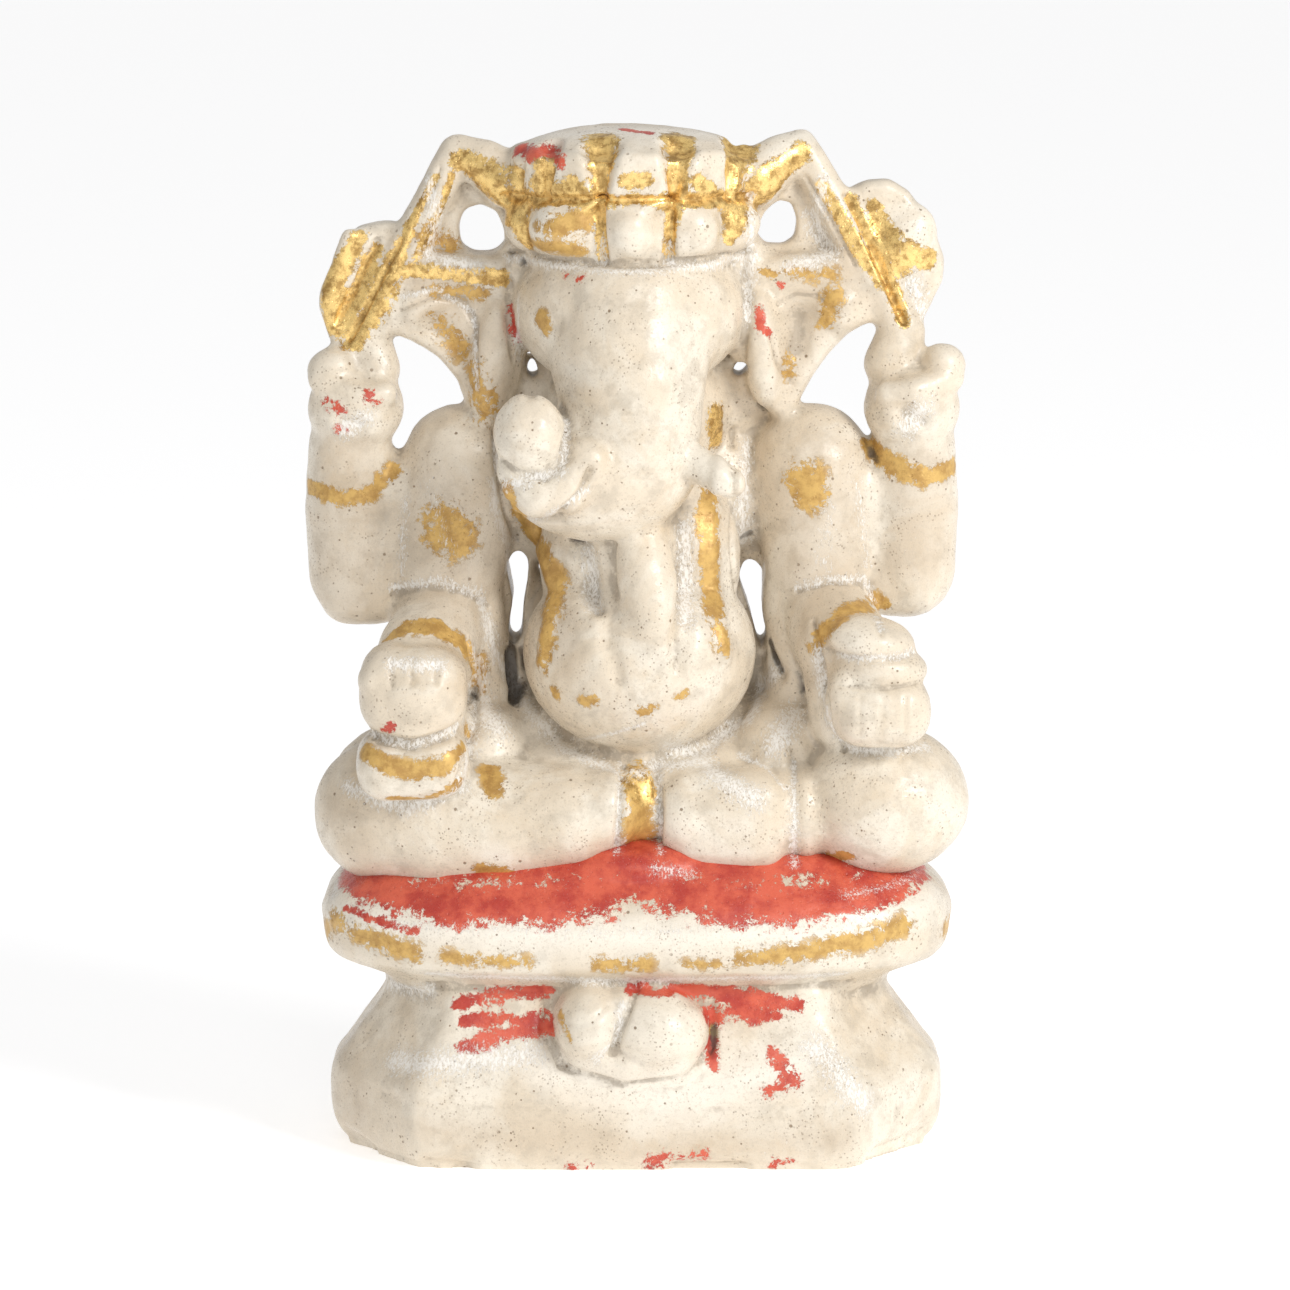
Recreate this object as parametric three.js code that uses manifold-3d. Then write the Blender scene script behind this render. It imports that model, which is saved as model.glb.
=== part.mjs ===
// A seated Ganesha carved in alabaster on a lotus seat and a chamfered base, modelled as its carved
// elements. Millimetres, +Z up, the figure faces -Y, and the origin is the middle of the underside.
// "right" and "left" are the figure's own sides, so its right hand is on -X.
import * as THREE from 'three';
import { mergeVertices } from 'three/addons/utils/BufferGeometryUtils.js';
import Module from 'manifold-3d';

const wasm = await Module();
wasm.setup();

// ---- Driving sizes ----
const jointGap = 0.3; // clearance kept between neighbouring elements
const base = {
  halfWidth: 90,
  halfDepth: 48,
  chamferX: 25,
  chamferY: 34,
  ridgeZ: 24,
  height: 48,
};
const seat = { halfWidth: 92, halfDepth: 50, squareness: 3.1, neckShare: 0.785, rimZ: 22, height: 42 };
const mouse = { bodyHalfWidth: 14.5, headHalfWidth: 12, halfHeight: 12.5, halfDepth: 12 };
const leg = { kneeOut: 71, kneeRadius: 22, ankleRadius: 13, footRadius: 12, hipOut: 26, thighRadius: 22 };
const lap = { halfWidth: 58, halfDepth: 28, halfHeight: 27 };
const belly = { halfWidth: 35, halfDepth: 31, halfHeight: 29 };
const torso = { halfWidth: 31, halfDepth: 25, shoulderHalfWidth: 54, chestHalfHeight: 34 };
const arm = { shoulderOut: 50, shoulderRadius: 20, upperRadius: 17, elbowRadius: 16, wristRadius: 14.5 };
const raisedArm = { elbowOut: 80, elbowRadius: 14, wristRadius: 12, length: 31 };
const fistSize = { halfWidth: 13.8, halfDepth: 12.5, halfHeight: 15.5 };
const frontHand = { out: 64, palmHalfWidth: 16, bowlHalfWidth: 14.2 };
const sweet = { halfWidth: 12.5, halfHeight: 9.5 };
const head = { halfWidth: 34, halfDepth: 30, halfHeight: 28 };
const trunk = { rootRadius: 23, middleRadius: 21, endRadius: 14, curlRadius: 11 };
const tuskSize = { rootRadius: 5.5, tipRadius: 4.5 };
const crown = { halfWidth: 34.5, halfDepth: 30, bandHeight: 17, petalHeight: 17, capHeight: 4, petals: 7 };
const ear = { thickness: 17, round: 2 };
const held = { handleRadius: 7, bladeThickness: 15, round: 2 };
const ribbonSize = { rootRadius: 9, tipRadius: 7.5 };
const shawl = { width: 9, thickness: 6.2 };
const sash = { width: 9.5, thickness: 8 };
const threadRadius = 8;
const bracelet = { width: 6, proud: 1.4 };

// ---- Levels and places that follow from them ----
const seatZ = base.height;
const lapZ = seatZ + seat.height + 10; // the axis of the crossed legs
const bellyZ = lapZ + 46;
const shoulderZ = bellyZ + 52;
const headZ = shoulderZ + 42;
const crownZ = headZ + 22;
const petalZ = crownZ + crown.bandHeight;
const capZ = petalZ + crown.petalHeight;
const figureX = -1.5; // the head and crown lean a touch to the figure's right
const frontY = -40; // the front of the crossed legs

const at = (x, y, z) => new THREE.Vector3(x, y, z);

// ---- Shapes; grow makes the same shape larger all round, to cut a neighbour with its clearance ----
function solidFrom(geometry) {
  geometry.deleteAttribute('normal');
  geometry.deleteAttribute('uv');
  const merged = mergeVertices(geometry, 1e-4);
  const mesh = new wasm.Mesh({
    numProp: 3,
    vertProperties: merged.attributes.position.array,
    triVerts: new Uint32Array(merged.index.array),
  });
  return new wasm.Manifold(mesh);
}

const union = (solids) => solids.reduce((sum, solid) => sum.add(solid));

// An ellipsoid with the given half sizes, turned by tilt degrees about the Y axis.
function ball(centre, [halfX, halfY, halfZ], tilt = 0, fine = 12) {
  return (grow) => {
    const geometry = new THREE.SphereGeometry(1, fine, Math.round(fine * 0.7));
    geometry.rotateX(Math.PI / 2);
    geometry.scale(halfX + grow, halfY + grow, halfZ + grow);
    geometry.rotateY(THREE.MathUtils.degToRad(tilt));
    geometry.translate(centre.x, centre.y, centre.z);
    return solidFrom(geometry);
  };
}

// A round limb from one ball to another, turned on a lathe and laid along its axis.
function limb(from, fromRadius, to, toRadius, depthShare = 1, fine = 10) {
  return (grow) => {
    const length = from.distanceTo(to);
    const lean = Math.asin((fromRadius - toRadius) / length);
    const steps = Math.round(fine / 4);
    const profile = [];
    for (let i = 0; i <= steps; i++) {
      const angle = -Math.PI / 2 + (i / steps) * (Math.PI / 2 + lean);
      profile.push(arcPoint(fromRadius + grow, angle, 0));
    }
    for (let i = 0; i <= steps; i++) {
      const angle = lean + (i / steps) * (Math.PI / 2 - lean);
      profile.push(arcPoint(toRadius + grow, angle, length));
    }
    profile[0].x = 0;
    profile[profile.length - 1].x = 0;
    const geometry = new THREE.LatheGeometry(profile, fine);
    const along = to.clone().sub(from).normalize();
    geometry.applyQuaternion(new THREE.Quaternion().setFromUnitVectors(at(0, 1, 0), along));
    geometry.scale(1, depthShare, 1);
    geometry.translate(from.x, from.y, from.z);
    return solidFrom(geometry);
  };
}

const arcPoint = (radius, angle, rise) =>
  new THREE.Vector2(radius * Math.cos(angle), rise + radius * Math.sin(angle));

// A thick plate cut to a smooth closed outline of [x, z] points, with rounded edges.
function plate(outline, middleY, thickness, round, steps = 22) {
  return (grow) => {
    const curve = new THREE.CatmullRomCurve3(outline.map(([x, z]) => at(x, z, 0)), true, 'centripetal');
    const shape = new THREE.Shape(curve.getPoints(steps).slice(0, -1).map((p) => new THREE.Vector2(p.x, p.y)));
    const geometry = new THREE.ExtrudeGeometry(shape, {
      depth: thickness - 2 * round + 2 * grow,
      bevelThickness: round,
      bevelSize: round,
      bevelOffset: grow - round,
      bevelSegments: 1,
      curveSegments: 1,
    });
    geometry.rotateX(Math.PI / 2);
    geometry.translate(0, middleY + thickness / 2 - round + grow, 0);
    return solidFrom(geometry);
  };
}

// A band that follows a curve through points, wide across X and thin across its own depth.
function band(points, width, thickness) {
  return (grow) => {
    const path = new THREE.CatmullRomCurve3(points);
    const halfWidth = width / 2 + grow;
    const halfThickness = thickness / 2 + grow;
    const corner = Math.min(halfWidth, halfThickness) * 0.6;
    const section = new THREE.Shape();
    section.moveTo(-halfThickness + corner, -halfWidth);
    section.lineTo(halfThickness - corner, -halfWidth);
    section.lineTo(halfThickness, -halfWidth + corner);
    section.lineTo(halfThickness, halfWidth - corner);
    section.lineTo(halfThickness - corner, halfWidth);
    section.lineTo(-halfThickness + corner, halfWidth);
    section.lineTo(-halfThickness, halfWidth - corner);
    section.lineTo(-halfThickness, -halfWidth + corner);
    const geometry = new THREE.ExtrudeGeometry(section, { steps: 6, extrudePath: path });
    return solidFrom(geometry);
  };
}

// A carved ring round a limb of the given radius, half sunk in it.
function ring(centre, direction, radius) {
  const disc = (reach, halfWidth) => {
    const edge = [at(0, -halfWidth, 0), at(reach, -halfWidth, 0), at(reach, halfWidth, 0), at(0, halfWidth, 0)];
    const geometry = new THREE.LatheGeometry(edge.map((p) => new THREE.Vector2(p.x, p.y)), 20);
    const turn = new THREE.Quaternion().setFromUnitVectors(at(0, 1, 0), direction.clone().normalize());
    geometry.applyQuaternion(turn);
    geometry.translate(centre.x, centre.y, centre.z);
    return solidFrom(geometry);
  };
  const halfWidth = bracelet.width / 2;
  return (grow) => {
    const hole = disc(radius - bracelet.proud - grow, bracelet.width);
    return disc(radius + bracelet.proud + grow, halfWidth + grow).subtract(hole);
  };
}

// A turned profile of [share of the half width, z] whose round plan is pushed out to another outline.
function platform(profile, planAt, centre, fine = 28) {
  return (grow) => {
    const points = profile.map(([share, z]) => new THREE.Vector2(share, z));
    const geometry = new THREE.LatheGeometry(points, fine);
    geometry.rotateX(Math.PI / 2);
    const position = geometry.attributes.position;
    const lowest = Math.min(...profile.map((p) => p[1]));
    const highest = Math.max(...profile.map((p) => p[1]));
    for (let i = 0; i < position.count; i++) {
      const share = Math.hypot(position.getX(i), position.getY(i));
      const angle = Math.atan2(position.getY(i), position.getX(i));
      const reach = share * planAt(angle) + (share > 0 ? grow : 0);
      const z = position.getZ(i);
      const rise = z === highest ? grow : z === lowest ? -grow : 0;
      const x = centre.x + reach * Math.cos(angle);
      const y = centre.y + reach * Math.sin(angle);
      position.setXYZ(i, x, y, centre.z + z + rise);
    }
    return solidFrom(geometry);
  };
}

const several = (...shapes) => (grow) => union(shapes.map((shape) => shape(grow)));

// Plan outlines, as the reach from the middle at an angle.
const ellipsePlan = (halfX, halfY, power) => (angle) => {
  const x = Math.abs(Math.cos(angle) / halfX) ** power;
  const y = Math.abs(Math.sin(angle) / halfY) ** power;
  return (x + y) ** (-1 / power);
};

const chamferedPlan = ({ halfWidth, halfDepth, chamferX, chamferY }) => (angle) => {
  const x = Math.abs(Math.cos(angle));
  const y = Math.abs(Math.sin(angle));
  const corner = halfWidth * chamferY + halfDepth * chamferX - chamferX * chamferY;
  return Math.min(halfWidth / x, halfDepth / y, corner / (x * chamferY + y * chamferX));
};

// ---- The plinth ----
function baseBlock() {
  const neck = (seat.neckShare * seat.halfWidth) / base.halfWidth;
  const chippedEdge = 5;
  const profile = [[0, 0], [0.96, 0], [0.99, chippedEdge], [1, base.ridgeZ], [neck, base.height - 4]];
  profile.push([neck, base.height - jointGap], [0, base.height - jointGap]);
  return platform(profile, chamferedPlan(base), at(0, 0, 0), 40);
}

function lotusSeat() {
  const neck = seat.neckShare;
  const rim = seat.rimZ;
  const profile = [[0, 0], [neck, 0], [neck + 0.05, rim - 14], [0.94, rim - 7], [1, rim], [0.985, rim + 5]];
  profile.push([0.93, rim + 9], [0.82, seat.height - 6], [0.6, seat.height], [0, seat.height + 2]);
  return platform(profile, ellipsePlan(seat.halfWidth, seat.halfDepth, seat.squareness), at(0, 0, seatZ));
}

const mouseY = -base.halfDepth * 0.92;
const mouseZ = base.height - 8;
const mouseBody = () => several(
  ball(at(8, mouseY, mouseZ), [mouse.bodyHalfWidth, mouse.halfDepth, mouse.halfHeight], 12),
  ball(at(-1, mouseY - 1, mouseZ - 9.5), [mouse.bodyHalfWidth * 1.5, mouse.halfDepth - 2, 5.5]),
);
const mouseHead = () =>
  ball(at(-14, mouseY, mouseZ + 1.5), [mouse.headHalfWidth, mouse.halfDepth - 2, mouse.halfHeight]);

// ---- The crossed legs, with the sash hanging between the feet ----
const rightLeg = () => several(
  limb(at(-leg.kneeOut, -14, lapZ), leg.kneeRadius, at(-14, frontY + 13, lapZ + 4), leg.ankleRadius),
  limb(at(-leg.kneeOut + 4, -6, lapZ + 2), leg.kneeRadius - 1, at(-leg.hipOut, 6, lapZ + 10), leg.thighRadius),
);
const leftLeg = () => several(
  ball(at(leg.kneeOut, -16, lapZ + 5), [25.5, 25, 20.5]),
  limb(at(leg.kneeOut - 3, -6, lapZ + 4), leg.kneeRadius - 1.5, at(leg.hipOut, 6, lapZ + 10), leg.thighRadius),
);
const leftFoot = () =>
  limb(at(13, frontY + 12, lapZ + 3), leg.footRadius, at(37, frontY + 15, lapZ + 1), leg.footRadius + 2);

const waistSash = () => band(
  [at(0, frontY + 9, lapZ + 15), at(0.5, frontY + 4, lapZ + 8), at(0.5, frontY + 5, lapZ - 8)],
  sash.width,
  sash.thickness,
);

// ---- The body ----
const bellyBall = () =>
  ball(at(1, -13, bellyZ), [belly.halfWidth, belly.halfDepth, belly.halfHeight], 0, 16);

const bodyBack = () => several(
  ball(at(0, 8, shoulderZ - 4), [torso.shoulderHalfWidth, torso.halfDepth - 5, 24]),
  ball(at(1, -8, shoulderZ - 26), [torso.halfWidth, torso.halfDepth + 2, torso.chestHalfHeight], 0, 14),
  limb(at(0, 7, shoulderZ - 8), torso.halfWidth, at(0, 8, bellyZ), torso.halfWidth, 0.9),
);
const hips = () => several(
  ball(at(0, 12, lapZ + 12), [lap.halfWidth, lap.halfDepth, lap.halfHeight]),
  ball(at(4, -10, lapZ + 1), [lap.halfWidth * 0.8, lap.halfDepth * 0.8, lap.halfHeight * 0.55]),
);

const sacredThread = () => several(
  limb(at(1.5, -34, bellyZ + 38), threadRadius + 0.5, at(4, -38, bellyZ + 18), threadRadius),
  limb(at(4, -38, bellyZ + 18), threadRadius, at(8, -38, bellyZ + 2), threadRadius),
);

const shawlBand = (points) => () => band(points, shawl.width, shawl.thickness);
const rightShawl = shawlBand([
  at(-37, -20, shoulderZ + 6), at(-32, -25, shoulderZ - 14), at(-24, -31, shoulderZ - 30),
  at(-25, -38, bellyZ + 4),
]);
const leftShawl = shawlBand([
  at(25, -24, shoulderZ + 16), at(22, -27, shoulderZ - 10), at(24, -32, bellyZ + 22), at(27, -35, bellyZ + 5),
]);

// ---- The front arms, whose hands rest on the knees ----
const elbowLap = 4; // how far the front elbows press into the raised ones
const frontElbowOut = raisedArm.elbowOut - raisedArm.elbowRadius - arm.elbowRadius + elbowLap;

function frontArm(side) {
  const elbow = at(side * frontElbowOut, -6, shoulderZ - 31);
  const wrist = at(side * (frontHand.out - 5), -25, bellyZ);
  const raisedElbow = at(side * raisedArm.elbowOut, 2, shoulderZ - 24);
  return {
    upper: () => several(
      ball(at(side * arm.shoulderOut, 0, shoulderZ), [arm.shoulderRadius, 16.5, arm.shoulderRadius + 1]),
      limb(at(side * arm.shoulderOut, -2, shoulderZ - 6), arm.upperRadius, elbow, arm.elbowRadius),
      limb(at(side * arm.shoulderOut, 5, shoulderZ - 12), 13, raisedElbow, raisedArm.elbowRadius - 2),
    ),
    lower: () => limb(elbow.clone().add(at(0, -1, -5)), arm.elbowRadius, wrist, arm.wristRadius),
    bracelet: () => ring(wrist.clone().lerp(elbow, 0.3), wrist.clone().sub(elbow), arm.wristRadius + 0.4),
  };
}

const rightFront = frontArm(-1);
const leftFront = frontArm(1);

const rightHand = () => several(
  ball(at(-frontHand.out, -40, bellyZ - 7), [frontHand.palmHalfWidth, 11, 15]),
  ball(at(-frontHand.out + 1, -42, bellyZ - 18), [frontHand.palmHalfWidth - 0.5, 12, 11]),
);
const leftHandZ = bellyZ - 10;
const leftHand = () => several(
  ball(at(frontHand.out + 5, -36, leftHandZ), [frontHand.bowlHalfWidth, 13, 11]),
  ball(at(frontHand.out + 3, -30, leftHandZ + 5), [frontHand.bowlHalfWidth, 12, 12]),
);
const modak = () =>
  ball(at(frontHand.out + 4, -38, leftHandZ + 15.5), [sweet.halfWidth, 11, sweet.halfHeight], 4);

// ---- The raised arms, with what they hold ----
function raised(side) {
  const elbow = at(side * raisedArm.elbowOut, 2, shoulderZ - 26);
  const wrist = at(side * (raisedArm.elbowOut + 2), 0, elbow.z + raisedArm.length);
  const hand = at(side * (raisedArm.elbowOut + 1), -3, wrist.z + 15);
  return { elbow, wrist, hand, fistTop: at(side * raisedArm.elbowOut, 1, hand.z + 20) };
}
const rightRaised = raised(-1);
const leftRaised = raised(1);
const forearm = ({ elbow, wrist }) => () => limb(elbow, raisedArm.elbowRadius, wrist, raisedArm.wristRadius);
const fist = ({ hand }) => () => several(
  ball(hand, [fistSize.halfWidth, fistSize.halfDepth, fistSize.halfHeight]),
  ball(at(hand.x + Math.sign(hand.x) * 3, hand.y, hand.z + 8), [fistSize.halfWidth - 2.8, 11, 7.5]),
);

const tassel = (side, reach) => at(figureX + side * reach, 1, capZ - 6);
const rightTop = tassel(-1, 51);
const leftTop = tassel(1, 49);
const handle = (from, to) => () => limb(from.fistTop, held.handleRadius, to, held.handleRadius);

// A blade on the outer side of its handle; its outline is [share of the handle's length, reach outwards].
function blade(from, to, side, outline) {
  const along = to.clone().sub(from.fistTop);
  const outwards = at(-along.z, 0, along.x).normalize().multiplyScalar(along.z * side > 0 ? -1 : 1);
  const points = outline.map(([share, reach]) => {
    const p = from.fistTop.clone().addScaledVector(along, share).addScaledVector(outwards, reach);
    return [p.x, p.z];
  });
  return () => plate(points, 1, held.bladeThickness, held.round, 18);
}
const rightBlade = blade(rightRaised, rightTop, -1, [
  [-0.02, 4], [0.1, 13], [0.3, 20], [0.62, 17], [0.72, 8], [0.6, -2], [0.05, -2],
]);
const leftBlade = blade(leftRaised, leftTop, 1, [
  [-0.02, 6], [0.1, 11], [0.38, 20], [0.62, 23], [0.8, 18], [0.86, 6], [0.7, -2], [0.05, -2],
]);

const ribbon = (side, top) => () =>
  limb(at(figureX + side * crown.halfWidth, -6, petalZ + 3), ribbonSize.rootRadius,
    at(top.x, 0, top.z - 2), ribbonSize.tipRadius);

// ---- The head ----
const headBall = () =>
  ball(at(figureX - 0.5, -8, headZ), [head.halfWidth, head.halfDepth, head.halfHeight], 0, 14);

const trunkEnd = at(-6, -38, shoulderZ - 4);
const trunkLimb = () => several(
  limb(at(figureX, -24, headZ - 2), trunk.rootRadius, at(0, -28, headZ - 28), trunk.middleRadius),
  limb(at(0, -28, headZ - 28), trunk.middleRadius, trunkEnd, trunk.endRadius + 2),
  limb(trunkEnd, trunk.endRadius, at(-20, -39, shoulderZ - 3), trunk.endRadius - 1.5),
);
const trunkCurl = () => several(
  limb(at(-21, -44, shoulderZ - 1), trunk.curlRadius, at(-26, -46, shoulderZ + 10), trunk.curlRadius),
  ball(at(-28.5, -48, shoulderZ + 17), [trunk.curlRadius, trunk.curlRadius, trunk.curlRadius]),
);
const tusk = () => limb(
  at(19, -32, shoulderZ + 12), tuskSize.rootRadius, at(27, -42, shoulderZ + 5), tuskSize.tipRadius, 1, 8,
);

// Ear outlines as [share of the way from under the crown to the handle, height above the head's middle].
const earRoot = crown.halfWidth * 0.75;
const earReach = raisedArm.elbowOut - held.handleRadius;
function earPlate(side, outline) {
  const points = outline.map(([share, up]) => {
    const out = earRoot + share * (earReach - earRoot);
    return [figureX + side * out, headZ + up];
  });
  return () => plate(points, -1, ear.thickness, ear.round, 24);
}
const rightEar = earPlate(-1, [
  [0, 22], [0.36, 21.5], [0.6, 27], [0.85, 24], [0.98, 12], [0.94, 5], [0.74, 0], [0.6, -9], [0.47, -20],
  [0.36, -29], [0.28, -30], [0.17, -20], [0, -8],
]);
const leftEar = earPlate(1, [
  [0, 22], [0.4, 22], [0.66, 28], [0.89, 24], [1, 12], [0.94, 4], [0.77, 3], [0.6, -8], [0.47, -18],
  [0.34, -28], [0.21, -23], [0.11, -12], [0, -4],
]);

// ---- The crown ----
const crownPlan = ellipsePlan(crown.halfWidth, crown.halfDepth, 2);
const crownCentre = (z) => at(figureX, -8, z);

function crownBand() {
  const bossHalfHeight = crown.bandHeight / 2;
  const drum = [[0, 0], [0.84, 0], [0.9, 4], [0.9, crown.bandHeight - 4], [0.84, crown.bandHeight - jointGap]];
  drum.push([0, crown.bandHeight - jointGap]);
  const bosses = [[-52, 13.5], [3, 9.2], [43, 9.2], [84, 9]].map(([turn, halfWidth]) => {
    const angle = THREE.MathUtils.degToRad(turn - 90);
    const reach = crownPlan(angle) - 5;
    const middle = at(figureX + reach * Math.cos(angle), -8 + reach * Math.sin(angle), crownZ + bossHalfHeight);
    return ball(middle, [halfWidth, 7, bossHalfHeight - 0.2], 0, 10);
  });
  return several(platform(drum, crownPlan, crownCentre(crownZ), 20), ...bosses);
}

function crownPetals() {
  const rise = crown.petalHeight - jointGap;
  const drum = platform([[0, 0], [0.86, 0], [0.92, rise], [0, rise]], crownPlan, crownCentre(petalZ), 20);
  const petals = [];
  for (let i = 0; i < crown.petals; i++) {
    const angle = THREE.MathUtils.degToRad(-174 + i * 28);
    const reach = crownPlan(angle) - 5;
    const foot = at(figureX + reach * Math.cos(angle), -8 + reach * Math.sin(angle), petalZ + 6.5);
    petals.push(limb(foot, 6.2, at(foot.x, foot.y, petalZ + rise - 3.2), 3, 1, 8));
  }
  return several(drum, ...petals);
}

function crownCap() {
  const profile = [[0, 0], [0.97, 0], [0.95, 1.5], [0.8, 3], [0.45, crown.capHeight - 0.4], [0, crown.capHeight]];
  return platform(profile, crownPlan, crownCentre(capZ), 20);
}

// ---- The elements in carving order: each one is cut away from those after it ----
const alabaster = { color: 0xe9dfca, roughness: 0.42, metalness: 0 };
const gilded = { color: 0xb98c3c, roughness: 0.45, metalness: 0.5 };
const vermilion = { color: 0xc8402f, roughness: 0.5, metalness: 0 };

const elements = [
  ['mouse', 'mouse_body', mouseBody(), alabaster],
  ['mouse', 'mouse_head', mouseHead(), alabaster],
  ['head', 'trunk_curl', trunkCurl(), alabaster],
  ['head', 'trunk', trunkLimb(), alabaster],
  ['head', 'left_tusk', tusk(), alabaster],
  ['dress', 'waist_sash', waistSash(), gilded],
  ['dress', 'right_shawl_band', rightShawl(), gilded],
  ['dress', 'left_shawl_band', leftShawl(), gilded],
  ['dress', 'sacred_thread', sacredThread(), alabaster],
  ['front arms', 'modak', modak(), alabaster],
  ['front arms', 'right_front_hand', rightHand(), alabaster],
  ['front arms', 'left_front_hand', leftHand(), alabaster],
  ['front arms', 'right_bracelet', rightFront.bracelet(), gilded],
  ['front arms', 'left_bracelet', leftFront.bracelet(), gilded],
  ['crown', 'crown_band', crownBand(), gilded],
  ['crown', 'crown_petals', crownPetals(), gilded],
  ['crown', 'crown_cap', crownCap(), alabaster],
  ['head', 'head', headBall(), alabaster],
  ['body', 'belly', bellyBall(), alabaster],
  ['raised arms', 'right_raised_hand', fist(rightRaised)(), alabaster],
  ['raised arms', 'left_raised_hand', fist(leftRaised)(), alabaster],
  ['raised arms', 'right_raised_forearm', forearm(rightRaised)(), alabaster],
  ['raised arms', 'left_raised_forearm', forearm(leftRaised)(), alabaster],
  ['raised arms', 'axe_handle', handle(rightRaised, rightTop)(), alabaster],
  ['raised arms', 'goad_handle', handle(leftRaised, leftTop)(), alabaster],
  ['raised arms', 'axe_blade', rightBlade(), gilded],
  ['raised arms', 'goad_blade', leftBlade(), gilded],
  ['crown', 'right_ribbon', ribbon(-1, rightTop)(), gilded],
  ['crown', 'left_ribbon', ribbon(1, leftTop)(), gilded],
  ['head', 'right_ear', rightEar(), alabaster],
  ['head', 'left_ear', leftEar(), alabaster],
  ['front arms', 'right_front_forearm', rightFront.lower(), alabaster],
  ['front arms', 'left_front_forearm', leftFront.lower(), alabaster],
  ['front arms', 'right_upper_arm', rightFront.upper(), alabaster],
  ['front arms', 'left_upper_arm', leftFront.upper(), alabaster],
  ['body', 'left_foot', leftFoot(), alabaster],
  ['body', 'left_leg', leftLeg(), alabaster],
  ['body', 'right_leg', rightLeg(), alabaster],
  ['body', 'torso', bodyBack(), alabaster],
  ['body', 'hips', hips(), alabaster],
  ['plinth', 'lotus_seat', lotusSeat(), vermilion],
  ['plinth', 'base_block', baseBlock(), alabaster],
];

// Cuts a solid back from every earlier one, and keeps its main body where a cut leaves crumbs.
function carve(solid, earlier) {
  let left = solid;
  for (const shape of earlier) left = left.subtract(shape(jointGap));
  const bodies = left.decompose();
  return bodies.reduce((most, body) => (body.volume() > most.volume() ? body : most));
}

function geometryOf(solid) {
  const { vertProperties, triVerts, numProp } = solid.getMesh();
  const position = new Float32Array((vertProperties.length / numProp) * 3);
  for (let i = 0; i < position.length / 3; i++) {
    for (let k = 0; k < 3; k++) position[i * 3 + k] = vertProperties[i * numProp + k];
  }
  const geometry = new THREE.BufferGeometry();
  geometry.setAttribute('position', new THREE.BufferAttribute(position, 3));
  geometry.setIndex(new THREE.BufferAttribute(new Uint32Array(triVerts), 1));
  geometry.computeVertexNormals();
  return geometry;
}

const idol = new THREE.Group();
const groups = new Map();
const done = [];
for (const [groupName, name, shape, finish] of elements) {
  const geometry = geometryOf(carve(shape(0), done));
  done.push(shape);
  geometry.computeBoundingBox();
  const middle = geometry.boundingBox.getCenter(at(0, 0, 0)).round();
  geometry.translate(-middle.x, -middle.y, -middle.z);
  const mesh = new THREE.Mesh(geometry, new THREE.MeshStandardMaterial(finish));
  mesh.name = name;
  mesh.position.copy(middle);
  if (!groups.has(groupName)) {
    groups.set(groupName, new THREE.Group());
    idol.add(groups.get(groupName));
  }
  groups.get(groupName).add(mesh);
}

export default idol;
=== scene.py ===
import math
import bpy
import numpy as np
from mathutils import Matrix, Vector
from mathutils.kdtree import KDTree


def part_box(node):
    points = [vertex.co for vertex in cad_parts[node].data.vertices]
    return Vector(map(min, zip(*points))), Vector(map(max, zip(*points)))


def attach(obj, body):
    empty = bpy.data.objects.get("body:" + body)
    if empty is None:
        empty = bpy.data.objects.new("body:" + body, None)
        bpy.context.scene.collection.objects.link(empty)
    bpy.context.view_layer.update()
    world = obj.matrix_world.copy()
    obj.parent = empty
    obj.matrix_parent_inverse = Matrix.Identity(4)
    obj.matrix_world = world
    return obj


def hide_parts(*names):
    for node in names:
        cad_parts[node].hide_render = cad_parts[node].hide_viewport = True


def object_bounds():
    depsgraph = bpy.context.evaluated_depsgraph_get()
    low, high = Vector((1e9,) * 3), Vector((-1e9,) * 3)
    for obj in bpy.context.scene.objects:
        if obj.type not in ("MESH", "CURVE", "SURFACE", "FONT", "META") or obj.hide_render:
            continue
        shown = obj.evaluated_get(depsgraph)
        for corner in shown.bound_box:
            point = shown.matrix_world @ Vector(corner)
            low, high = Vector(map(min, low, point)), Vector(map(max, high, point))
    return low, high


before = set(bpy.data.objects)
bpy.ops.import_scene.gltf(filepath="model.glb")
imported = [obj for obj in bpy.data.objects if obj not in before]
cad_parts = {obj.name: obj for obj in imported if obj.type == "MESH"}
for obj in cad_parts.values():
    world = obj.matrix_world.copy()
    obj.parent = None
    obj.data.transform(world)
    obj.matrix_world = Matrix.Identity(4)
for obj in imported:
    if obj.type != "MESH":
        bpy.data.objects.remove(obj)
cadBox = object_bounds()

mm = 0.001
turning = {"segments": 32, "ring_count": 20}
bpy.ops.object.select_all(action="DESELECT")

# The carving is drawn in millimetres on levels of its own, and sized onto the frame's parts.
baseLow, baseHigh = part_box("base_block")
bellyLow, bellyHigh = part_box("belly")
drawing = {
    "halfWidth": 90,
    "halfDepth": 48,
    "levels": [0, 48, 146, 262, 300],
    "heldAt": [
        baseLow.z,
        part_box("lotus_seat")[0].z,
        (bellyLow.z + bellyHigh.z) / 2,
        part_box("crown_band")[0].z,
        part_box("crown_cap")[1].z,
    ],
}
wide = (baseHigh.x - baseLow.x) / 2 / drawing["halfWidth"]
deep = (baseHigh.y - baseLow.y) / 2 / drawing["halfDepth"]


def at(x, y, z):
    return Vector((x * wide, y * deep, float(np.interp(z, drawing["levels"], drawing["heldAt"]))))


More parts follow.
